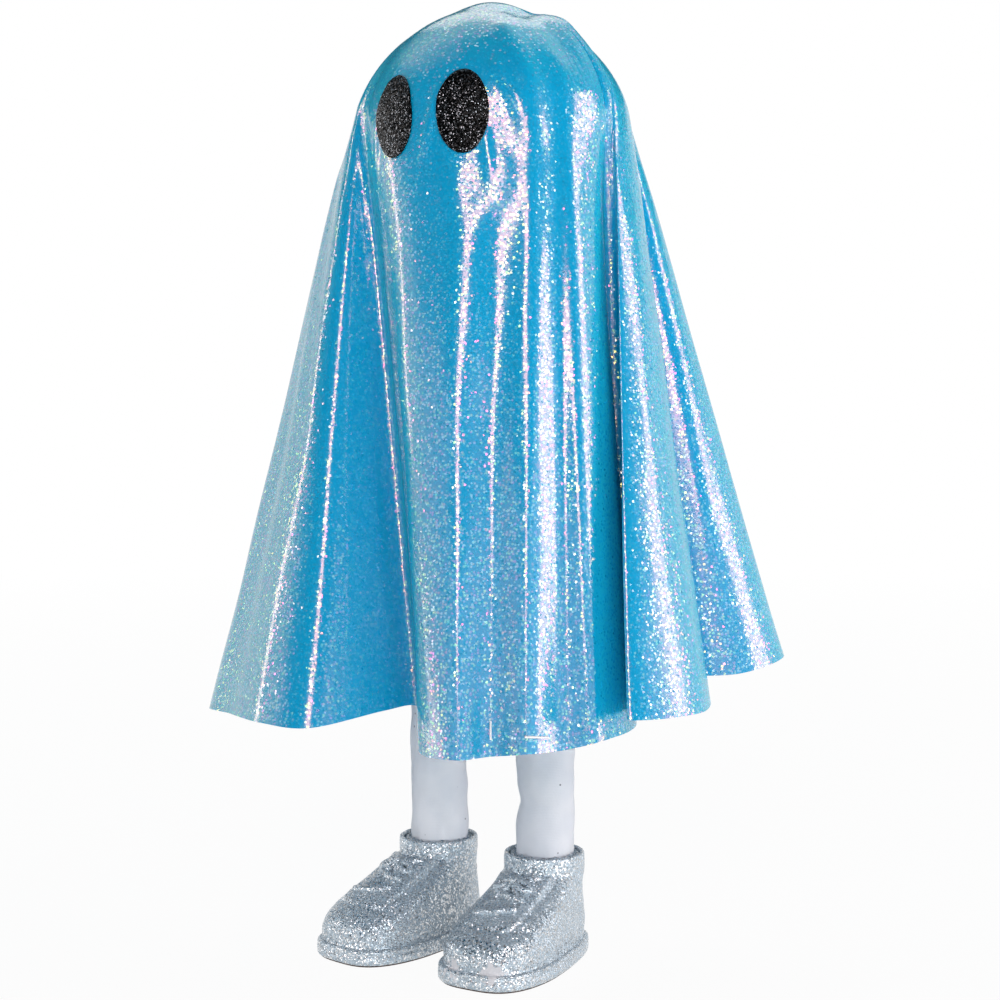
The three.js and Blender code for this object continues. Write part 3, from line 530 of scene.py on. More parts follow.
class Drape:
    """The cloth as a grid of points, rows down from the crown by columns round the hem."""

    def __init__(self):
        count = len(HEM)
        self.place = np.arange(COLUMNS) * count / COLUMNS
        self.hem = hem_at(self.place)
        step = np.linalg.norm(np.roll(self.hem, -1, 0) - self.hem, axis=1)
        self.run = np.concatenate([[0], np.cumsum(step)])
        self.crown = self.crown_angles()
        out = np.hypot(self.hem[:, 0], self.hem[:, 1])
        drop = HEAD_CENTRE_HEIGHT - self.hem[:, 2]
        self.radius = HEAD_RADIUS + CLOTH_EASE
        reach = np.hypot(out, drop)
        self.leave = np.pi - np.arctan2(out, drop) - np.arccos(self.radius / reach)
        self.arc = self.radius * self.leave
        outs = [row[1] for row in HEM]
        self.ridge = np.clip((out - min(outs)) / (max(outs) - min(outs)), 0, 1)
        self.from_ball = self.on_dome(self.crown, self.leave)
        self.straight = np.linalg.norm(self.from_ball - self.hem, axis=1)
        self.lengths = self.row_lengths()
        self.points = self.hung()
        self.points += self.normals() * self.relief()[..., None]
        self.out_normals = self.normals()

    def crown_angles(self):
        """The angle at which each column crosses the ball, evened over its neighbours."""
        numbers, degrees = np.array(CROWN, float).T
        runs = np.interp(numbers, np.append(self.place, len(HEM)), self.run)
        angles = np.radians(np.interp(self.run[:-1], runs, degrees))
        window = COLUMNS // len(HEM)
        turn = 2 * np.pi
        wide = np.concatenate([angles[-window:] - turn, angles, angles[:window] + turn])
        weights = np.hanning(2 * window + 1)
        return np.convolve(wide, weights / weights.sum(), "valid")

    def on_dome(self, angle, polar):
        out = self.radius * np.sin(polar)
        height = HEAD_CENTRE_HEIGHT + self.radius * np.cos(polar)
        return np.stack([out * np.sin(angle), -out * np.cos(angle), height], -1)

    def row_lengths(self):
        dome = np.outer(np.linspace(0, 1, DOME_ROWS + 1), self.arc)
        skirt = self.arc + np.outer(np.linspace(0, 1, SKIRT_ROWS + 1)[1:], self.straight)
        return np.concatenate([dome, skirt])

    def hung(self):
        """The cloth on the ball, then straight to its hem but for the pleats, which stand off
        below the ball, and the nub at the crown."""
        lengths = self.lengths
        polar = np.minimum(lengths, self.arc) / self.radius
        dome = self.on_dome(np.broadcast_to(self.crown, polar.shape), polar)
        share = np.clip((lengths - self.arc) / self.straight, 0, 1)[..., None]
        points = np.where(share > 0, self.from_ball + (self.hem - self.from_ball) * share, dome)
        rise = smooth_step(lengths, 0.5 * self.radius, 1.5 * self.radius)
        fade = 1 - smooth_step(lengths, 1.5 * self.radius, self.arc + self.straight)
        away = np.stack([np.sin(self.crown), -np.cos(self.crown), 0 * self.crown], -1)
        points = points + away * (PLEAT_STANDOFF * self.ridge * rise * fade)[..., None]
        points[..., 2] += NUB_LIFT * (1 - smooth_step(lengths, NUB_FLAT, NUB_FLAT + NUB_SLOPE))
        return points

    def normals(self):
        around = np.roll(self.points, -1, 1) - np.roll(self.points, 1, 1)
        down = np.gradient(self.points, axis=0)
        normal = np.cross(around, down)
        size = np.linalg.norm(normal, axis=2, keepdims=True)
        normal = normal / np.maximum(size, 1e-9)
        normal[0] = (0, 0, 1)
        return -normal if normal[DOME_ROWS // 2, :, 2].mean() < 0 else normal

    def relief(self):
        """How far the cloth's small folds and wrinkles stand out of its hung shape."""
        low = smooth_step(self.lengths, 120, 300)
        turn = 2 * np.pi * self.run[:-1] / self.run[-1]
        height = np.zeros_like(self.lengths)
        for cycles, size, phase, drift in RIPPLES:
            height += size * low * np.sin(cycles * turn + phase + drift * self.lengths)
        for row, points in enumerate(self.points):
            for column, (x, y, z) in enumerate(points):
                height[row, column] += 0.7 * noise.noise((x / 34, y / 34, z / 70))
        for size, wide, path in WRINKLES:
            height += self.wrinkle(size, wide, path)
        height += self.wrinkle(*LAP, lap=True)
        seam = np.abs(self.place - SEAM_PLACE) * COLUMNS / len(HEM)
        return height + 0.5 * np.exp(-(seam / 1.5) ** 2) * smooth_step(self.lengths, 4, 20)

    def wrinkle(self, size, wide, path, lap=False):
        """A rounded ridge along a path, or the edge where one layer laps over the next."""
        steps = np.linspace(0, len(path) - 1, 24 * (len(path) - 1) + 1)
        places, down = (np.interp(steps, range(len(path)), column) for column in zip(*path))
        line = np.array([self.sample(self.points, place, value)
                         for place, value in zip(places, down)])
        reach = 3 * (LAP_RISE if lap else wide)
        gap = np.abs(self.place - np.mean(places))
        inside = np.all((self.points > line.min(0) - reach) & (self.points < line.max(0) + reach),
                        axis=2) & (np.minimum(gap, len(HEM) - gap) < (12 if lap else 6))
        rows, columns = np.nonzero(inside)
        spots = self.points[rows, columns]
        apart = np.linalg.norm(spots[:, None] - line[None], axis=2)
        nearest = apart.argmin(1)
        distance = apart[np.arange(len(spots)), nearest]
        share = nearest / (len(line) - 1)
        taper = smooth_step(share, 0, 0.25 if lap else 0.2) * (1 - smooth_step(share, 0.7, 1))
        shape = np.exp(-(distance / wide) ** 2)
        if lap:
            east = np.roll(self.points, -1, 1) - self.points
            before = ((spots - line[nearest]) * east[rows, columns]).sum(1) < 0
            shape = np.where(before, np.exp(-distance / LAP_RISE), shape)
        height = np.zeros(self.lengths.shape)
        height[rows, columns] = size * taper * shape
        return height

    def place_at(self, degrees):
        """The place, in hem points, where the cloth crosses the ball at an angle."""
        angles = np.append(self.crown, self.crown[0] + 2 * np.pi)
        angle = math.radians(degrees)
        angle += 2 * np.pi * math.ceil((angles[0] - angle) / (2 * np.pi))
        return float(np.interp(angle, angles, np.arange(COLUMNS + 1))) * len(HEM) / COLUMNS

    def sample(self, grid, place, down):
        """A grid's value at a place round the hem and a length down from the crown."""
        column = place * COLUMNS / len(HEM)
        first = int(column) % COLUMNS
        part = column - int(column)
        found = []
        for index in (first, (first + 1) % COLUMNS):
            row = np.interp(down, self.lengths[:, index], np.arange(len(self.lengths)))
            above = min(int(row), len(self.lengths) - 2)
            share = row - above
            found.append(grid[above, index] * (1 - share) + grid[above + 1, index] * share)
        return found[0] * (1 - part) + found[1] * part

    def spot(self, place, down, lift=0.0):
        """A point above the cloth, in metres in the frame, and the way out there."""
        normal = self.sample(self.out_normals, place, down)
        normal = normal / np.linalg.norm(normal)
        point = self.sample(self.points, place, down) + normal * lift
        return AXIS + Vector(point) * MM, Vector(normal)

    def cut_shape(self, column, row):
        """Where a point lay on the flat cloth, in metres: a fan opened from its back seam."""
        start = np.interp(SEAM_PLACE, np.append(self.place, len(HEM)), self.run)
        run = (self.run[column] - start) % self.run[-1] if column < COLUMNS else -start % self.run[-1]
        whole = self.arc.mean() + self.straight.mean()
        angle = run / whole
        down = self.lengths[row, column % COLUMNS] * MM
        return down * math.cos(angle), down * math.sin(angle)


class GHOST_OT_drape(bpy.types.Operator):
    """Hangs the foil cloth over the head ball"""
    bl_idname = "ghost.drape"
    bl_label = "Foil cloth drape"

    def execute(self, context):
        settings = context.scene.ghost_cloth
        drape = Drape()
        rows = DOME_ROWS + SKIRT_ROWS
        bm = bmesh.new()
        bmesh.ops.create_grid(bm, x_segments=COLUMNS, y_segments=rows, size=0.5)
        cut = bm.loops.layers.uv.new("Cut")
        where = {}
        for vert in bm.verts:
            column = round((vert.co.x + 0.5) * COLUMNS)
            row = round((0.5 - vert.co.y) * rows)
            where[vert] = (column, row)
        for face in bm.faces:
            for loop in face.loops:
                loop[cut].uv = drape.cut_shape(*where[loop.vert])
        for vert, (column, row) in where.items():
            vert.co = AXIS + Vector(drape.points[row, column % COLUMNS]) * MM
        bmesh.ops.remove_doubles(bm, verts=bm.verts, dist=1e-6)
        bmesh.ops.recalc_face_normals(bm, faces=bm.faces)
        piece = finished("foil_drape", bm, foil_cloth(settings), ["drape"])
        sheet = glitter("black_glitter_sheet", settings.eye, settings.eye_flake,
                        settings.eye_flake_width, EYE_FLAKE_TIP, EYE_FLAKE_SHARE, gloss=0.1)
        for name, degrees, width in EYES:
            self.add_eye(drape, name, degrees, width, sheet)
        for tack in TACKS:
            add_tack(drape, *tack)
        return {"FINISHED"}

    def add_eye(self, drape, name, degrees, width, material):
        """An oval of glitter sheet that follows the cloth."""
        centre = drape.radius * math.acos(EYE_RISE / drape.radius)
        bm = bmesh.new()
        bmesh.ops.create_grid(bm, x_segments=EYE_CELLS, y_segments=EYE_CELLS, size=1)
        for vert in bm.verts:
            x, y = vert.co.x, vert.co.y
            across = x * math.sqrt(1 - y * y / 2)
            up = y * math.sqrt(1 - x * x / 2)
            place = drape.place_at(degrees + math.degrees(across * width / 2 / drape.radius))
            vert.co = drape.spot(place, centre - up * EYE_HEIGHT / 2, EYE_LIFT)[0]
        bmesh.ops.recalc_face_normals(bm, faces=bm.faces)
        if sum(face.normal.y for face in bm.faces) > 0:
            bmesh.ops.reverse_faces(bm, faces=bm.faces)
        piece = finished(f"glitter_{name}", bm, material, [name])
        add_modifier(piece, "SOLIDIFY", thickness=EYE_THICKNESS * MM, offset=1)


def rod_between(bm, start, end, radius):
    """A round rod with softened ends from start to end, in metres."""
    along = end - start
    turn = Vector((0, 0, 1)).rotation_difference(along).to_matrix().to_4x4()
    made = bmesh.ops.create_cone(
        bm, cap_ends=True, segments=12, radius1=radius, radius2=radius, depth=along.length,
        matrix=Matrix.Translation((start + end) / 2) @ turn)["verts"]
    caps = {e for v in made for e in v.link_edges if len({f for f in e.link_faces
            if len(f.verts) > 4}) == 1}
    bmesh.ops.bevel(bm, geom=list(caps), offset=radius * 0.45, segments=2, profile=0.5,
                    affect="EDGES", material=-1)


def add_tack(drape, number, place, rise, upright):
    """A tagging pin through the hem: a bar on one face, a paddle on the other, a stem between."""
    down = float(np.interp(place, np.append(drape.place, len(HEM)),
                           np.append(drape.lengths[-1], drape.lengths[-1][0]))) - rise
    point, normal = drape.spot(place, down)
    below, _ = drape.spot(place, down + 1)
    fall = (below - point).normalized()
    along = fall if upright else normal.cross(fall).normalized()
    outside = point + normal * (TACK_RADIUS + TACK_OUTER_GAP) * MM
    inside = point - normal * (TACK_RADIUS + TACK_INNER_GAP) * MM
    sizes = (TACK_PADDLE, TACK_BAR) if upright else (TACK_BAR, TACK_PADDLE)
    bm = bmesh.new()
    for centre, size in zip((outside, inside), sizes):
        half = along * size / 2 * MM
        rod_between(bm, centre - half, centre + half, TACK_RADIUS * MM)
    rod_between(bm, outside, inside, TACK_STEM_RADIUS * MM)
    finished(f"tagging_pin_{number}", bm, tack_plastic(), [f"front_hem_tack_{number}"])


# Legs

LEG_SEGMENTS = 56
LEG_ROWS = 60
# Heights of the gather at the boot's rim and of the left leg's kink
GATHER_HEIGHT = 52
KINK_HEIGHT = 79


def leg_ring(side, centre, radius, height):
    """One ring of a stuffed leg: soft, slightly uneven, gathered where it enters the boot."""
    points = []
    seed = 3.0 if side == "left" else 11.0
    for i in range(LEG_SEGMENTS):
        angle = 2 * math.pi * i / LEG_SEGMENTS
        x, y = math.cos(angle), math.sin(angle)
        soft = 0.5 + 1.3 * noise.noise((x * 1.3 + seed, y * 1.3, height / MM / 16))
        slant = height / MM / 9 + 1.2 * x
        fine = 0.45 * noise.noise((x * 2.6 + seed, y * 2.6, slant))
        gather = math.exp(-((height / MM - GATHER_HEIGHT) / 6) ** 2)
        pucker = gather * (0.28 * math.sin(9 * angle + seed) + 0.16 * math.sin(17 * angle))
        kink = 0.0
        if side == "left":
            inward = max(0, -x * 0.9 - y * 0.3)
            kink = -2.2 * math.exp(-((height / MM - KINK_HEIGHT) / 6) ** 2) * inward
        out = radius + (soft + fine + pucker - 0.5 * gather + kink) * MM
        points.append(Vector((centre.x + out * x, centre.y + out * y, height)))
    return points


class GHOST_OT_legs(bpy.types.Operator):
    """Stuffs the two cloth legs"""
    bl_idname = "ghost.legs"
    bl_label = "Stuffed legs"

    def execute(self, context):
        cloth = jersey(context.scene.ghost_leg)
        for side in SIDES:
            low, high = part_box(f"{side}_leg_sleeve")
            centre, radius = (low + high) / 2, (high.x - low.x) / 2
            rings = []
            for i in range(LEG_ROWS + 1):
                share = i / LEG_ROWS
                height = low.z + share * (high.z - low.z)
                ends = min(share, 1 - share) * (high.z - low.z) / (3 * MM)
                tuck = math.sqrt(max(0.0, 1 - (1 - min(ends, 1)) ** 2))
                rings.append(leg_ring(side, centre, radius - 2.5 * MM * (1 - tuck), height))
            piece = finished(f"stuffed_{side}_leg", loft(rings), cloth,
                             [f"{side}_leg_sleeve", f"{side}_leg_wadding"])
        return {"FINISHED"}


# Boots

# The boot in millimetres, as the frame's own, along its toe direction
SHOE_FRONT = 75.5
SHOE_BACK = 23
BALL_HALF = 28.4
HEEL_HALF = 22.7
BALL_SHARE = 0.6
SOLE_SQUARENESS = 3.1
OUTSOLE_TOP = 2.6
OUTSOLE_INSET = 1.2
WELT_TOP = 8.5
WELT_LEDGE = 2.4
UPPER_BOTTOM = 8.8
COLLAR_BOTTOM = 43.3
SHOE_TOP = 52.3
COLLAR_RADIUS = 20.2
UPPER_WALL = 2.2
UPPER_SETTLES_FROM = 0.15
# Degrees by which each foot is turned
TURN = {"left": -2, "right": -13}
UPPER_PROFILE = ((0, 1), (0.16, 1.005), (0.32, 0.965), (0.46, 0.84), (0.6, 0.66), (0.74, 0.4),
                 (0.86, 0.2), (1, 0))
# Rings up the welt and the outsole: inset from the sole's outline, height. The coat runs down
# over the outsole's edge and leaves its last millimetre bare
WELT_PROFILE = (
    (OUTSOLE_INSET - 0.1, 1.2), (0.5, 1.0), (0.1, 1.7), (0, 3.4), (0.05, 5.2), (0.45, 5.9),
    (0.1, 6.6), (0.3, 7.8), (1.1, WELT_TOP), (4.4, WELT_TOP),
)
OUTSOLE_PROFILE = ((OUTSOLE_INSET + 0.4, 0), (OUTSOLE_INSET, 0.4), (OUTSOLE_INSET, OUTSOLE_TOP))
LEDGE_BOTTOM = 40.5
LEDGE_GAP = 0.3
# The laces: how far up the instep each bar lies, as a share; its half length and its lift
LACE_ROWS = (0.93, 0.79, 0.65)
LACE_REACH = 8.8
LACE_LIFT = 2.1
LACE_SLANT = 0.03
LACE_RADIUS = 1.8
KNOT_UP = 0.9
KNOT_LIFT = 4.6
BOW_LOOP = ((0, 0, 0), (3, -2.4, -1.8), (7.5, -3.4, -3.2), (10, -1.6, -3.4), (8, 0.8, -1.4),
            (3.5, 1.0, 0.4), (0, 0, 0))
BOW_TAIL = ((0, 0, 0), (3, -3.6, -3.4), (5.5, -7.6, -6.8), (6.6, -10.4, -9.0))
# The heel tab from its top down: how far it stands off the collar, height
TAB_PATH = ((1.0, 40), (1.8, 37.5), (4.2, 34), (5.4, 30.5), (4.4, 26.5))
TAB_HALF = 4
TAB_THICKNESS = 0.8
BOOT_FLAKE_TIP = 0.95
BOOT_FLAKE_SHARE = (0.6, 0.75)
# Where the coat is worn off the left toe
WORN_SPOTS = ((-9, -71, 8), (12, -70, 8))
BOOT_SEGMENTS = 96
UPPER_ROWS = 34


def mixed(first, second, share):
    return first + (second - first) * share


def step_up(value, low, high):
    return float(smooth_step(value, low, high))


def foot_ring(front, back, ball, heel, squareness, height):
    """An outline round the foot at a height, toe along -Y, in millimetres."""
    points = []
    for i in range(BOOT_SEGMENTS):
        angle = 2 * math.pi * i / BOOT_SEGMENTS
        bend = [math.copysign(abs(v) ** (2 / squareness), v) for v in (math.cos(angle), math.sin(angle))]
        along = mixed(-back, front, (1 + bend[0]) / 2)
        wide = mixed(heel, ball, step_up(along, -back, BALL_SHARE * front))
        points.append(Vector((wide * bend[1], -along, height)))
    return points


def sole_ring(inset, height):
    return foot_ring(SHOE_FRONT - inset, SHOE_BACK - inset, BALL_HALF - inset, HEEL_HALF - inset,
                     SOLE_SQUARENESS, height)


def out_at(up):
    shares, outs = zip(*UPPER_PROFILE)
    return float(np.interp(up, shares, outs))


def upper_ring(up, inset, height):
    full = WELT_LEDGE + inset
    neck = COLLAR_RADIUS - inset
    settle = step_up(up, UPPER_SETTLES_FROM, 1)
    window = [out_at(min(1, max(0, up + shift))) for shift in (-0.05, -0.025, 0, 0.025, 0.05)]
    return foot_ring(mixed(neck, SHOE_FRONT - full, sum(window) / 5),
                     mixed(SHOE_BACK - full, neck, settle), mixed(BALL_HALF - full, neck, settle),
                     mixed(HEEL_HALF - full, neck, settle), mixed(SOLE_SQUARENESS, 2, settle), height)


def placed(side, points):
    """Boot points in millimetres, put at the foot of their leg, in metres."""
    foot = middle(f"{side}_leg_sleeve")
    turn = Matrix.Rotation(math.radians(TURN[side]), 4, "Z")
    return [Vector((foot.x, foot.y, 0)) + turn @ (point * MM) for point in points]


def boot_relief(point, up):
    """How far the shoe's own panels stand out under the glitter, in millimetres."""
    ahead = -point.y
    across = abs(point.x)
    facing = step_up(up, 0.5, 0.56) * (1 - step_up(up, 0.97, 1.0))
    lace_panel = facing * step_up(ahead, 8, 14) * (1 - step_up(across, 13, 15))
    gap = math.exp(-(point.x / 2.0) ** 2) * facing * step_up(ahead, 12, 18)
    counter = (1 - step_up(ahead, -4, -1)) * (1 - step_up(up, 0.72, 0.78))
    toe = 0.8 * math.exp(-((ahead - 52 + across * 0.25) / 1.6) ** 2) * step_up(up, 0.1, 0.3)
    lumps = 0.6 * noise.noise((point.x / 7, point.y / 7, point.z / 7))
    grit = 0.16 * noise.noise((point.x / 1.6, point.y / 1.6, point.z / 1.6))
    return 2.6 * lace_panel - 0.8 * gap + 0.6 * counter + toe + lumps + grit


def upper_rings(side):
    """The upper from its edge on the welt, up to the collar, over the rim and down inside."""
    rings = []
    rise = COLLAR_BOTTOM - UPPER_BOTTOM
    centre = Vector((0, -12, 25))
    heights = [i / UPPER_ROWS for i in range(UPPER_ROWS + 1)]
    for inset, height in ((1.5, WELT_TOP - 0.2), (-0.5, WELT_TOP - 0.1)):
        rings.append(upper_ring(0, inset, height))
    for up in heights:
        points = upper_ring(up, 0, UPPER_BOTTOM + up * rise)
        for point in points:
            out = (point - centre).normalized()
            point += out * boot_relief(point, up)
        rings.append(points)
    for share in (0.25, 0.5, 0.75, 0.93):
        points = upper_ring(1, -0.25 * math.sin(share * math.pi), mixed(COLLAR_BOTTOM, SHOE_TOP, share))
        for point in points:
            out = Vector((point.x, point.y, 0)).normalized()
            point += out * 0.16 * noise.noise((point.x / 1.6 + 9, point.y / 1.6, point.z / 1.6))
        rings.append(points)
    rings.append(upper_ring(1, 0.4, SHOE_TOP))
    rings.append(upper_ring(1, UPPER_WALL - 0.5, SHOE_TOP))
    rings.append(upper_ring(1, UPPER_WALL, SHOE_TOP - 0.6))
    for height in (SHOE_TOP - 4, COLLAR_BOTTOM, 38):
        rings.append(upper_ring(1, UPPER_WALL, height))
    return [placed(side, points) for points in rings]


def ledge_rings(side):
    """The glittered filler round the leg, a shallow uneven ledge below the rim."""
    low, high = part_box(f"{side}_leg_sleeve")
    inner = (high.x - low.x) / 2 / MM + LEDGE_GAP
    outer = COLLAR_RADIUS - UPPER_WALL - LEDGE_GAP
    top = SHOE_TOP - 1
    rings = []
    for out, height in ((inner, LEDGE_BOTTOM), (inner, top - 0.6), (inner + 0.4, top + 0.3),
                        (mixed(inner, outer, 0.5), top - 0.3), (outer - 0.4, top),
                        (outer, top - 0.7), (outer, LEDGE_BOTTOM), (inner, LEDGE_BOTTOM)):
        points = []
        for i in range(BOOT_SEGMENTS):
            angle = 2 * math.pi * i / BOOT_SEGMENTS
            x, y = out * math.sin(angle), -out * math.cos(angle)
            rough = (0.7 + 0.8 * (out < inner + 1)) * noise.noise((x / 2.2, y / 2.2, 4.0))
            rough *= height > LEDGE_BOTTOM
            points.append(Vector((x, y, height + rough)))
        rings.append(placed(side, points))
    return rings


def on_instep(up, across, lift):
    """A point on the instep, lifted off it."""
    settle = step_up(up, UPPER_SETTLES_FROM, 1)
    front = mixed(COLLAR_RADIUS, SHOE_FRONT - WELT_LEDGE, out_at(up))
    half = mixed(BALL_HALF - WELT_LEDGE, COLLAR_RADIUS, settle)
    squareness = mixed(SOLE_SQUARENESS, 2, settle)
    reach = front * (1 - abs(across / half) ** squareness) ** (1 / squareness)
    slope = Vector((across / half, -1, 1)).normalized()
    return Vector((across, -reach, mixed(UPPER_BOTTOM, COLLAR_BOTTOM, up))) + slope * lift


def cord_piece(name, paths, radius, material, replaced):
    """Round laces along smooth paths, as one mesh."""
    curve = bpy.data.curves.new(name, "CURVE")
    curve.dimensions = "3D"
    curve.bevel_depth = radius
    curve.bevel_resolution = 3
    curve.use_fill_caps = True
    for path in paths:
        spline = curve.splines.new("NURBS")
        spline.points.add(len(path) - 1)
        for spot, point in zip(spline.points, path):
            spot.co = (*point, 1)
        spline.order_u = 3
        spline.use_endpoint_u = True
        spline.resolution_u = 6
    holder = bpy.data.objects.new(name, curve)
    bm = bmesh.new()
    bm.from_mesh(holder.to_mesh())
    holder.to_mesh_clear()
    bpy.data.objects.remove(holder)
    bmesh.ops.remove_doubles(bm, verts=bm.verts, dist=1e-6)
    bmesh.ops.recalc_face_normals(bm, faces=bm.faces)
    finished(name, bm, material, replaced)


def lace_paths(side):
    """Lace bars over the instep, with a flattened bow on top."""
    paths = []
    for row, up in enumerate(LACE_ROWS):
        slant = LACE_SLANT if row % 2 else -LACE_SLANT
        points = [on_instep(up - slant * share, share * LACE_REACH, LACE_LIFT)
                  for share in (-1.05, -0.8, -0.4, 0, 0.4, 0.8, 1.05)]
        paths.append(placed(side, points))
    knot = on_instep(KNOT_UP, 0, KNOT_LIFT)
    for way in (-1, 1):
        for path in (BOW_LOOP, BOW_TAIL):
            paths.append(placed(side, [knot + Vector((way * x, y, z)) for x, y, z in path]))
    paths.append(placed(side, [knot + Vector((x, -0.6, 0.6)) for x in (-1.8, 0, 1.8)]))
    return paths


def heel_tab(side, material):
    """A strip of ribbon glued on the heel, with its foot bent away."""
    outs, heights = zip(*TAB_PATH)
    bm = bmesh.new()
    bmesh.ops.create_grid(bm, x_segments=6, y_segments=16, size=1)
    for vert in bm.verts:
        share = (1 - vert.co.y) / 2 * (len(TAB_PATH) - 1)
        out, high = (float(np.interp(share, range(len(TAB_PATH)), row)) for row in (outs, heights))
        curl = 0.5 * vert.co.x ** 2
        spot = Vector((TAB_HALF * vert.co.x, COLLAR_RADIUS + out - curl, high))
        vert.co = placed(side, [spot])[0]
    bmesh.ops.recalc_face_normals(bm, faces=bm.faces)
    piece = finished(f"{side}_heel_ribbon", bm, material, [f"{side}_boot_heel_tab"])
    add_modifier(piece, "SOLIDIFY", thickness=TAB_THICKNESS * MM, offset=0)
    add_modifier(piece, "SUBSURF", levels=1, render_levels=1)


class GHOST_OT_boots(bpy.types.Operator):
    """Builds the two glittered boots"""
    bl_idname = "ghost.boots"
    bl_label = "Glitter boots"

    def execute(self, context):
        settings = context.scene.ghost_boot
        worn = placed("left", [Vector(spot) for spot in WORN_SPOTS])
        coat = glitter("silver_glitter_coat", settings.glitter, settings.flake,
                       settings.flake_width, BOOT_FLAKE_TIP, BOOT_FLAKE_SHARE, worn=worn)
        ribbon = grosgrain()
        rubber = outsole_rubber(settings)
        for side in SIDES:
            boot = finished(f"{side}_shoe_upper", loft(upper_rings(side)), coat,
                            [f"{side}_boot_upper"])
            add_modifier(boot, "SUBSURF", levels=1, render_levels=1)
            for part, profile, material, slot in (("welt", WELT_PROFILE, coat, "boot_glitter"),
                                                  ("outsole", OUTSOLE_PROFILE, rubber,
                                                   "outsole_rubber")):
                rings = [placed(side, sole_ring(inset, height)) for inset, height in profile]
                finished(f"{side}_shoe_{part}", loft(rings), material, [f"{side}_boot_{part}"])
            finished(f"{side}_shoe_filler", loft(ledge_rings(side), closed=False), coat,
                     [f"{side}_boot_filler"])
            cord_piece(f"{side}_shoe_laces", lace_paths(side), LACE_RADIUS * MM, coat,
                       [f"{side}_boot_lace"])
            heel_tab(side, ribbon)
        return {"FINISHED"}


class GHOST_OT_inside(bpy.types.Operator):
    """Finishes the pieces inside the figure"""
    bl_idname = "ghost.inside"
    bl_label = "Wood, foam and screws"

    def execute(self, context):
        finishes = {
            sawn_wood(): ["spine_dowel", "neck_disc", "hip_block", "left_leg_rod", "right_leg_rod"],
            moulded_foam(): ["head_ball"],
            zinc_steel(): ["left_leg_screw", "right_leg_screw", "spine_screw"],
            cast_plaster(): ["left_boot_ballast", "right_boot_ballast"],
        }
        for material, nodes in finishes.items():
            for node in nodes:
                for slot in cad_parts[node].material_slots:
                    slot.material = material
        return {"FINISHED"}


# Stage

# The camera as it was fitted to the photograph
CAMERA_AZIMUTH = math.radians(29)
CAMERA_PITCH = math.atan(115 / 1900)
FOCAL_MM = 68.4
AXIS_LEFT_OF_CENTRE = 0.0067
WALL_DISTANCE = 9
WALL_HEIGHT = 2.9
FLOOR_GAP = 0.0003
LAMP_AIM_HEIGHT = 0.27
# Strength of the room's light everywhere, high behind, at the right and at the left
ROOM_LIGHT = 0.05
BACK_LIGHT = 1.05
RIGHT_LIGHT = 0.3
LEFT_LIGHT = 0.12

# Soft boxes: name, degrees from the camera, height, distance out, width and height of the box in
# metres, watts, tint
LAMPS = (
    ("front_strip", -2, 1.2, 1.9, 0.55, 1.0, 15, "#FFEEEC"),
    ("front_floor_fill", 25, 0.1, 1.6, 1.6, 0.18, 10, "#FFFFFF"),
    ("left_floor_fill", -80, 0.1, 1.6, 1.6, 0.18, 3, "#FFFFFF"),
    ("high_left_panel", -110, 1.9, 0.9, 0.9, 0.9, 0.7, "#FFFFFF"),
    ("high_back_panel", 180, 1.6, 1.2, 1.0, 0.8, 3.5, "#FFFFFF"),
    ("left_strip", -112, 0.55, 1.3, 0.12, 1.3, 3.5, "#FFF4F0"),
    ("right_soft_box", 87, 0.6, 1.4, 0.4, 1.2, 8.5, "#FFF0EE"),
)


def lamp(name, azimuth, height, distance, wide, tall, watts, tint):
    """A soft box at an angle from the camera's, aimed at the middle of the figure."""
    light = bpy.data.lights.new(name, "AREA")
    light.shape = "RECTANGLE"
    light.size, light.size_y = wide, tall
    light.energy = watts
    light.color = linear(tint)[:3]
    holder = bpy.data.objects.new(name, light)
    angle = CAMERA_AZIMUTH + math.radians(azimuth)
    holder.location = AXIS + Vector((math.sin(angle) * distance, -math.cos(angle) * distance, height))
    aim = AXIS + Vector((0, 0, LAMP_AIM_HEIGHT)) - holder.location
    holder.rotation_euler = aim.to_track_quat("-Z", "Y").to_euler()
    bpy.context.scene.collection.objects.link(holder)


def seen_white(tree, first, strength):
    """Mixes a shader with plain white for the camera, gloss and glass, by strength."""
    path = add_node(tree, "ShaderNodeLightPath")
    rays = sums(tree, "MAXIMUM", path.outputs["Is Camera Ray"], path.outputs["Is Glossy Ray"])
    rays = sums(tree, "MAXIMUM", rays, path.outputs["Is Transmission Ray"])
    white = add_node(tree, "ShaderNodeEmission", {"Color": (1, 1, 1, 1), "Strength": 1.0}).outputs[0]
    share = sums(tree, "MULTIPLY", rays, strength)
    return add_node(tree, "ShaderNodeMixShader", {0: share, 1: first, 2: white}).outputs[0]


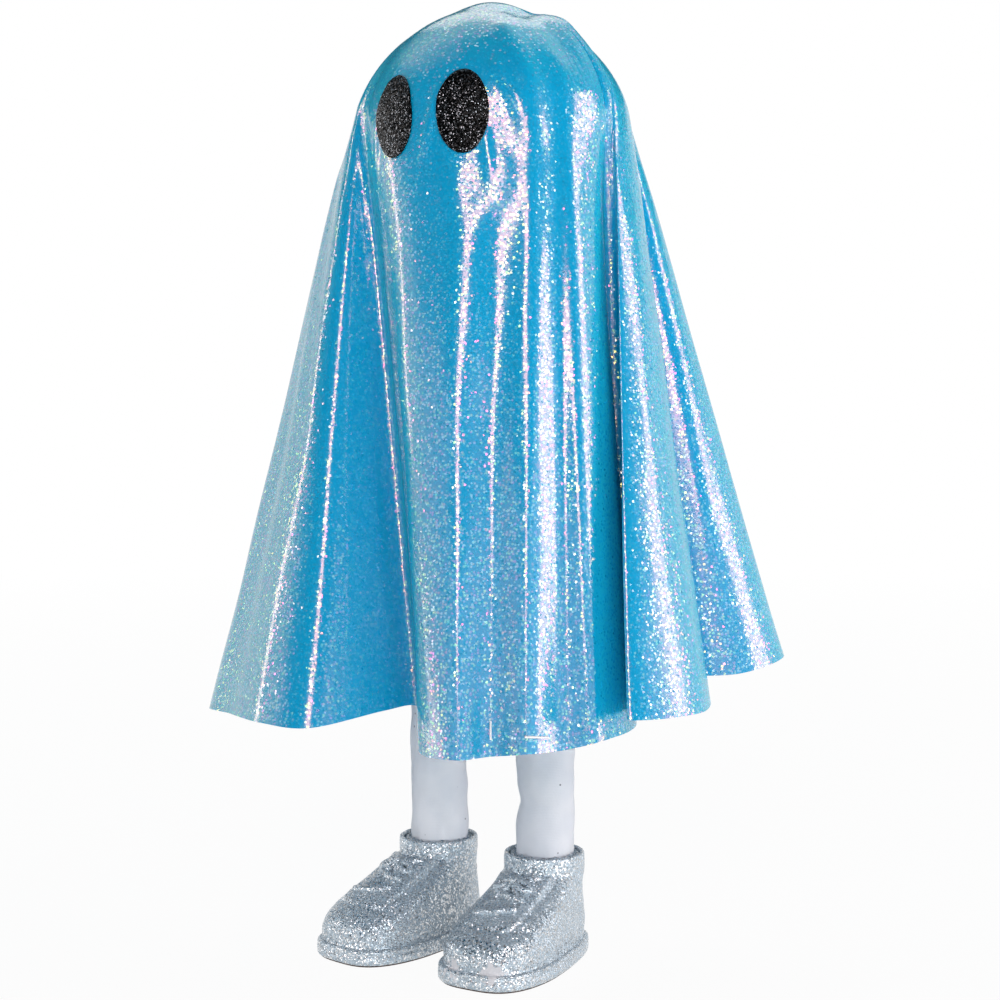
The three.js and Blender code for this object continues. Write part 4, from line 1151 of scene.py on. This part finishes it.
def studio_world():
    """A dim room with soft light from high behind the figure and from walls at its sides."""
    world = bpy.data.worlds.new("studio")
    world.use_nodes = True
    tree = world.node_tree
    tree.nodes.clear()
    way = add_node(tree, "ShaderNodeTexCoord").outputs["Generated"]
    side, back = (vectors(tree, "DOT_PRODUCT", {0: way, 1: toward}, "Value")
                  for toward in ((math.cos(CAMERA_AZIMUTH), math.sin(CAMERA_AZIMUTH), 0),
                                 (-math.sin(CAMERA_AZIMUTH), math.cos(CAMERA_AZIMUTH), 0)))
    up = add_node(tree, "ShaderNodeSeparateXYZ", {0: way}).outputs[2]
    above = sums(tree, "MULTIPLY", spread(tree, back, 0.1, 0.4, 0, BACK_LIGHT),
                 spread(tree, up, 0.45, 0.75))
    level = sums(tree, "ADD", sums(tree, "ADD", above, ROOM_LIGHT),
                 sums(tree, "ADD", spread(tree, side, 0.65, 0.95, 0, RIGHT_LIGHT),
                      spread(tree, side, -0.75, -0.95, 0, LEFT_LIGHT)))
    soft = add_node(tree, "ShaderNodeBackground", {"Color": linear("#D4ECFA"), "Strength": level})
    output = add_node(tree, "ShaderNodeOutputWorld")
    tree.links.new(soft.outputs[0], output.inputs[0])
    return world


class GHOST_OT_stage(bpy.types.Operator):
    """Sets up the floor, the backdrop, the soft studio light and the camera"""
    bl_idname = "ghost.stage"
    bl_label = "Floor, light and camera"

    def execute(self, context):
        settings = context.scene.ghost_stage
        floor = bmesh.new()
        bmesh.ops.create_grid(floor, x_segments=2, y_segments=2, size=WALL_DISTANCE + 1,
                              matrix=Matrix.Translation((0, 0, -FLOOR_GAP)))
        self.add_sheet("floor", floor, settings.floor, (0.95, 1.0))
        wall = bmesh.new()
        bmesh.ops.create_cone(wall, cap_ends=False, segments=96, radius1=WALL_DISTANCE,
                              radius2=WALL_DISTANCE, depth=WALL_HEIGHT,
                              matrix=Matrix.Translation((0, 0, WALL_HEIGHT / 2)))
        self.add_sheet("backdrop", wall, settings.floor, (1.0, 1.0))
        context.scene.world = studio_world()
        for row in LAMPS:
            lamp(*row)
        camera = bpy.data.cameras.new("camera")
        camera.lens = FOCAL_MM
        camera.shift_x = AXIS_LEFT_OF_CENTRE
        holder = bpy.data.objects.new("camera", camera)
        reach = settings.distance
        holder.location = AXIS + Vector((math.sin(CAMERA_AZIMUTH) * reach,
                                         -math.cos(CAMERA_AZIMUTH) * reach, settings.height))
        holder.rotation_euler = (math.pi / 2 - CAMERA_PITCH, 0, CAMERA_AZIMUTH)
        context.scene.collection.objects.link(holder)
        context.scene.camera = holder
        context.scene.view_settings.view_transform = "Standard"
        return {"FINISHED"}

    def add_sheet(self, name, bm, paper, whiteness):
        """Matt paper. whiteness is the share of plain white that the eye sees near the figure
        and far from it."""
        mesh = bpy.data.meshes.new(name)
        bm.to_mesh(mesh)
        bm.free()
        sheet = bpy.data.objects.new(name, mesh)
        bpy.context.scene.collection.objects.link(sheet)
        material, tree, shader, where = new_material(f"matt_paper_{name}", {
            "Roughness": 0.95, "Specular IOR Level": 0.1})
        speck = spread(tree, cloud(tree, where, 0.004), 0.3, 0.7, 0.0, 0.4)
        feed(shader, "Base Color", blend(tree, speck, paper, linear("#EFEFEF")))
        away = vectors(tree, "LENGTH", {0: where}, "Value")
        share = spread(tree, away, 0.3, 2.0, *whiteness)
        output = next(n for n in tree.nodes if n.type == "OUTPUT_MATERIAL")
        tree.links.new(seen_white(tree, shader.outputs[0], share), output.inputs[0])
        mesh.materials.append(material)


class GHOST_PT_panel(bpy.types.Panel):
    """Lists the ghost's pieces and their settings"""
    bl_label = "Ghost"
    bl_idname = "GHOST_PT_panel"
    bl_space_type = "VIEW_3D"
    bl_region_type = "UI"
    bl_category = "Ghost"

    def draw(self, context):
        for operator in OPERATORS:
            self.layout.operator(operator.bl_idname)
        for group in SETTINGS:
            for name in getattr(context.scene, group).bl_rna.properties.keys():
                if name not in {"rna_type", "name"}:
                    self.layout.prop(getattr(context.scene, group), name)


OPERATORS = (GHOST_OT_stage, GHOST_OT_inside, GHOST_OT_drape, GHOST_OT_legs, GHOST_OT_boots)
SETTINGS = {
    "ghost_cloth": GhostClothSettings,
    "ghost_leg": GhostLegSettings,
    "ghost_boot": GhostBootSettings,
    "ghost_stage": GhostStageSettings,
}


def register():
    for cls in (*SETTINGS.values(), *OPERATORS, GHOST_PT_panel):
        bpy.utils.register_class(cls)
    for name, cls in SETTINGS.items():
        setattr(bpy.types.Scene, name, PointerProperty(type=cls))


def unregister():
    for name in SETTINGS:
        delattr(bpy.types.Scene, name)
    for cls in reversed((*SETTINGS.values(), *OPERATORS, GHOST_PT_panel)):
        bpy.utils.unregister_class(cls)


def main():
    register()
    for operator in OPERATORS:
        group, name = operator.bl_idname.split(".")
        if getattr(getattr(bpy.ops, group), name)() != {"FINISHED"}:
            raise RuntimeError(f"{operator.bl_label} couldn't be built")


if __name__ == "__main__":
    main()
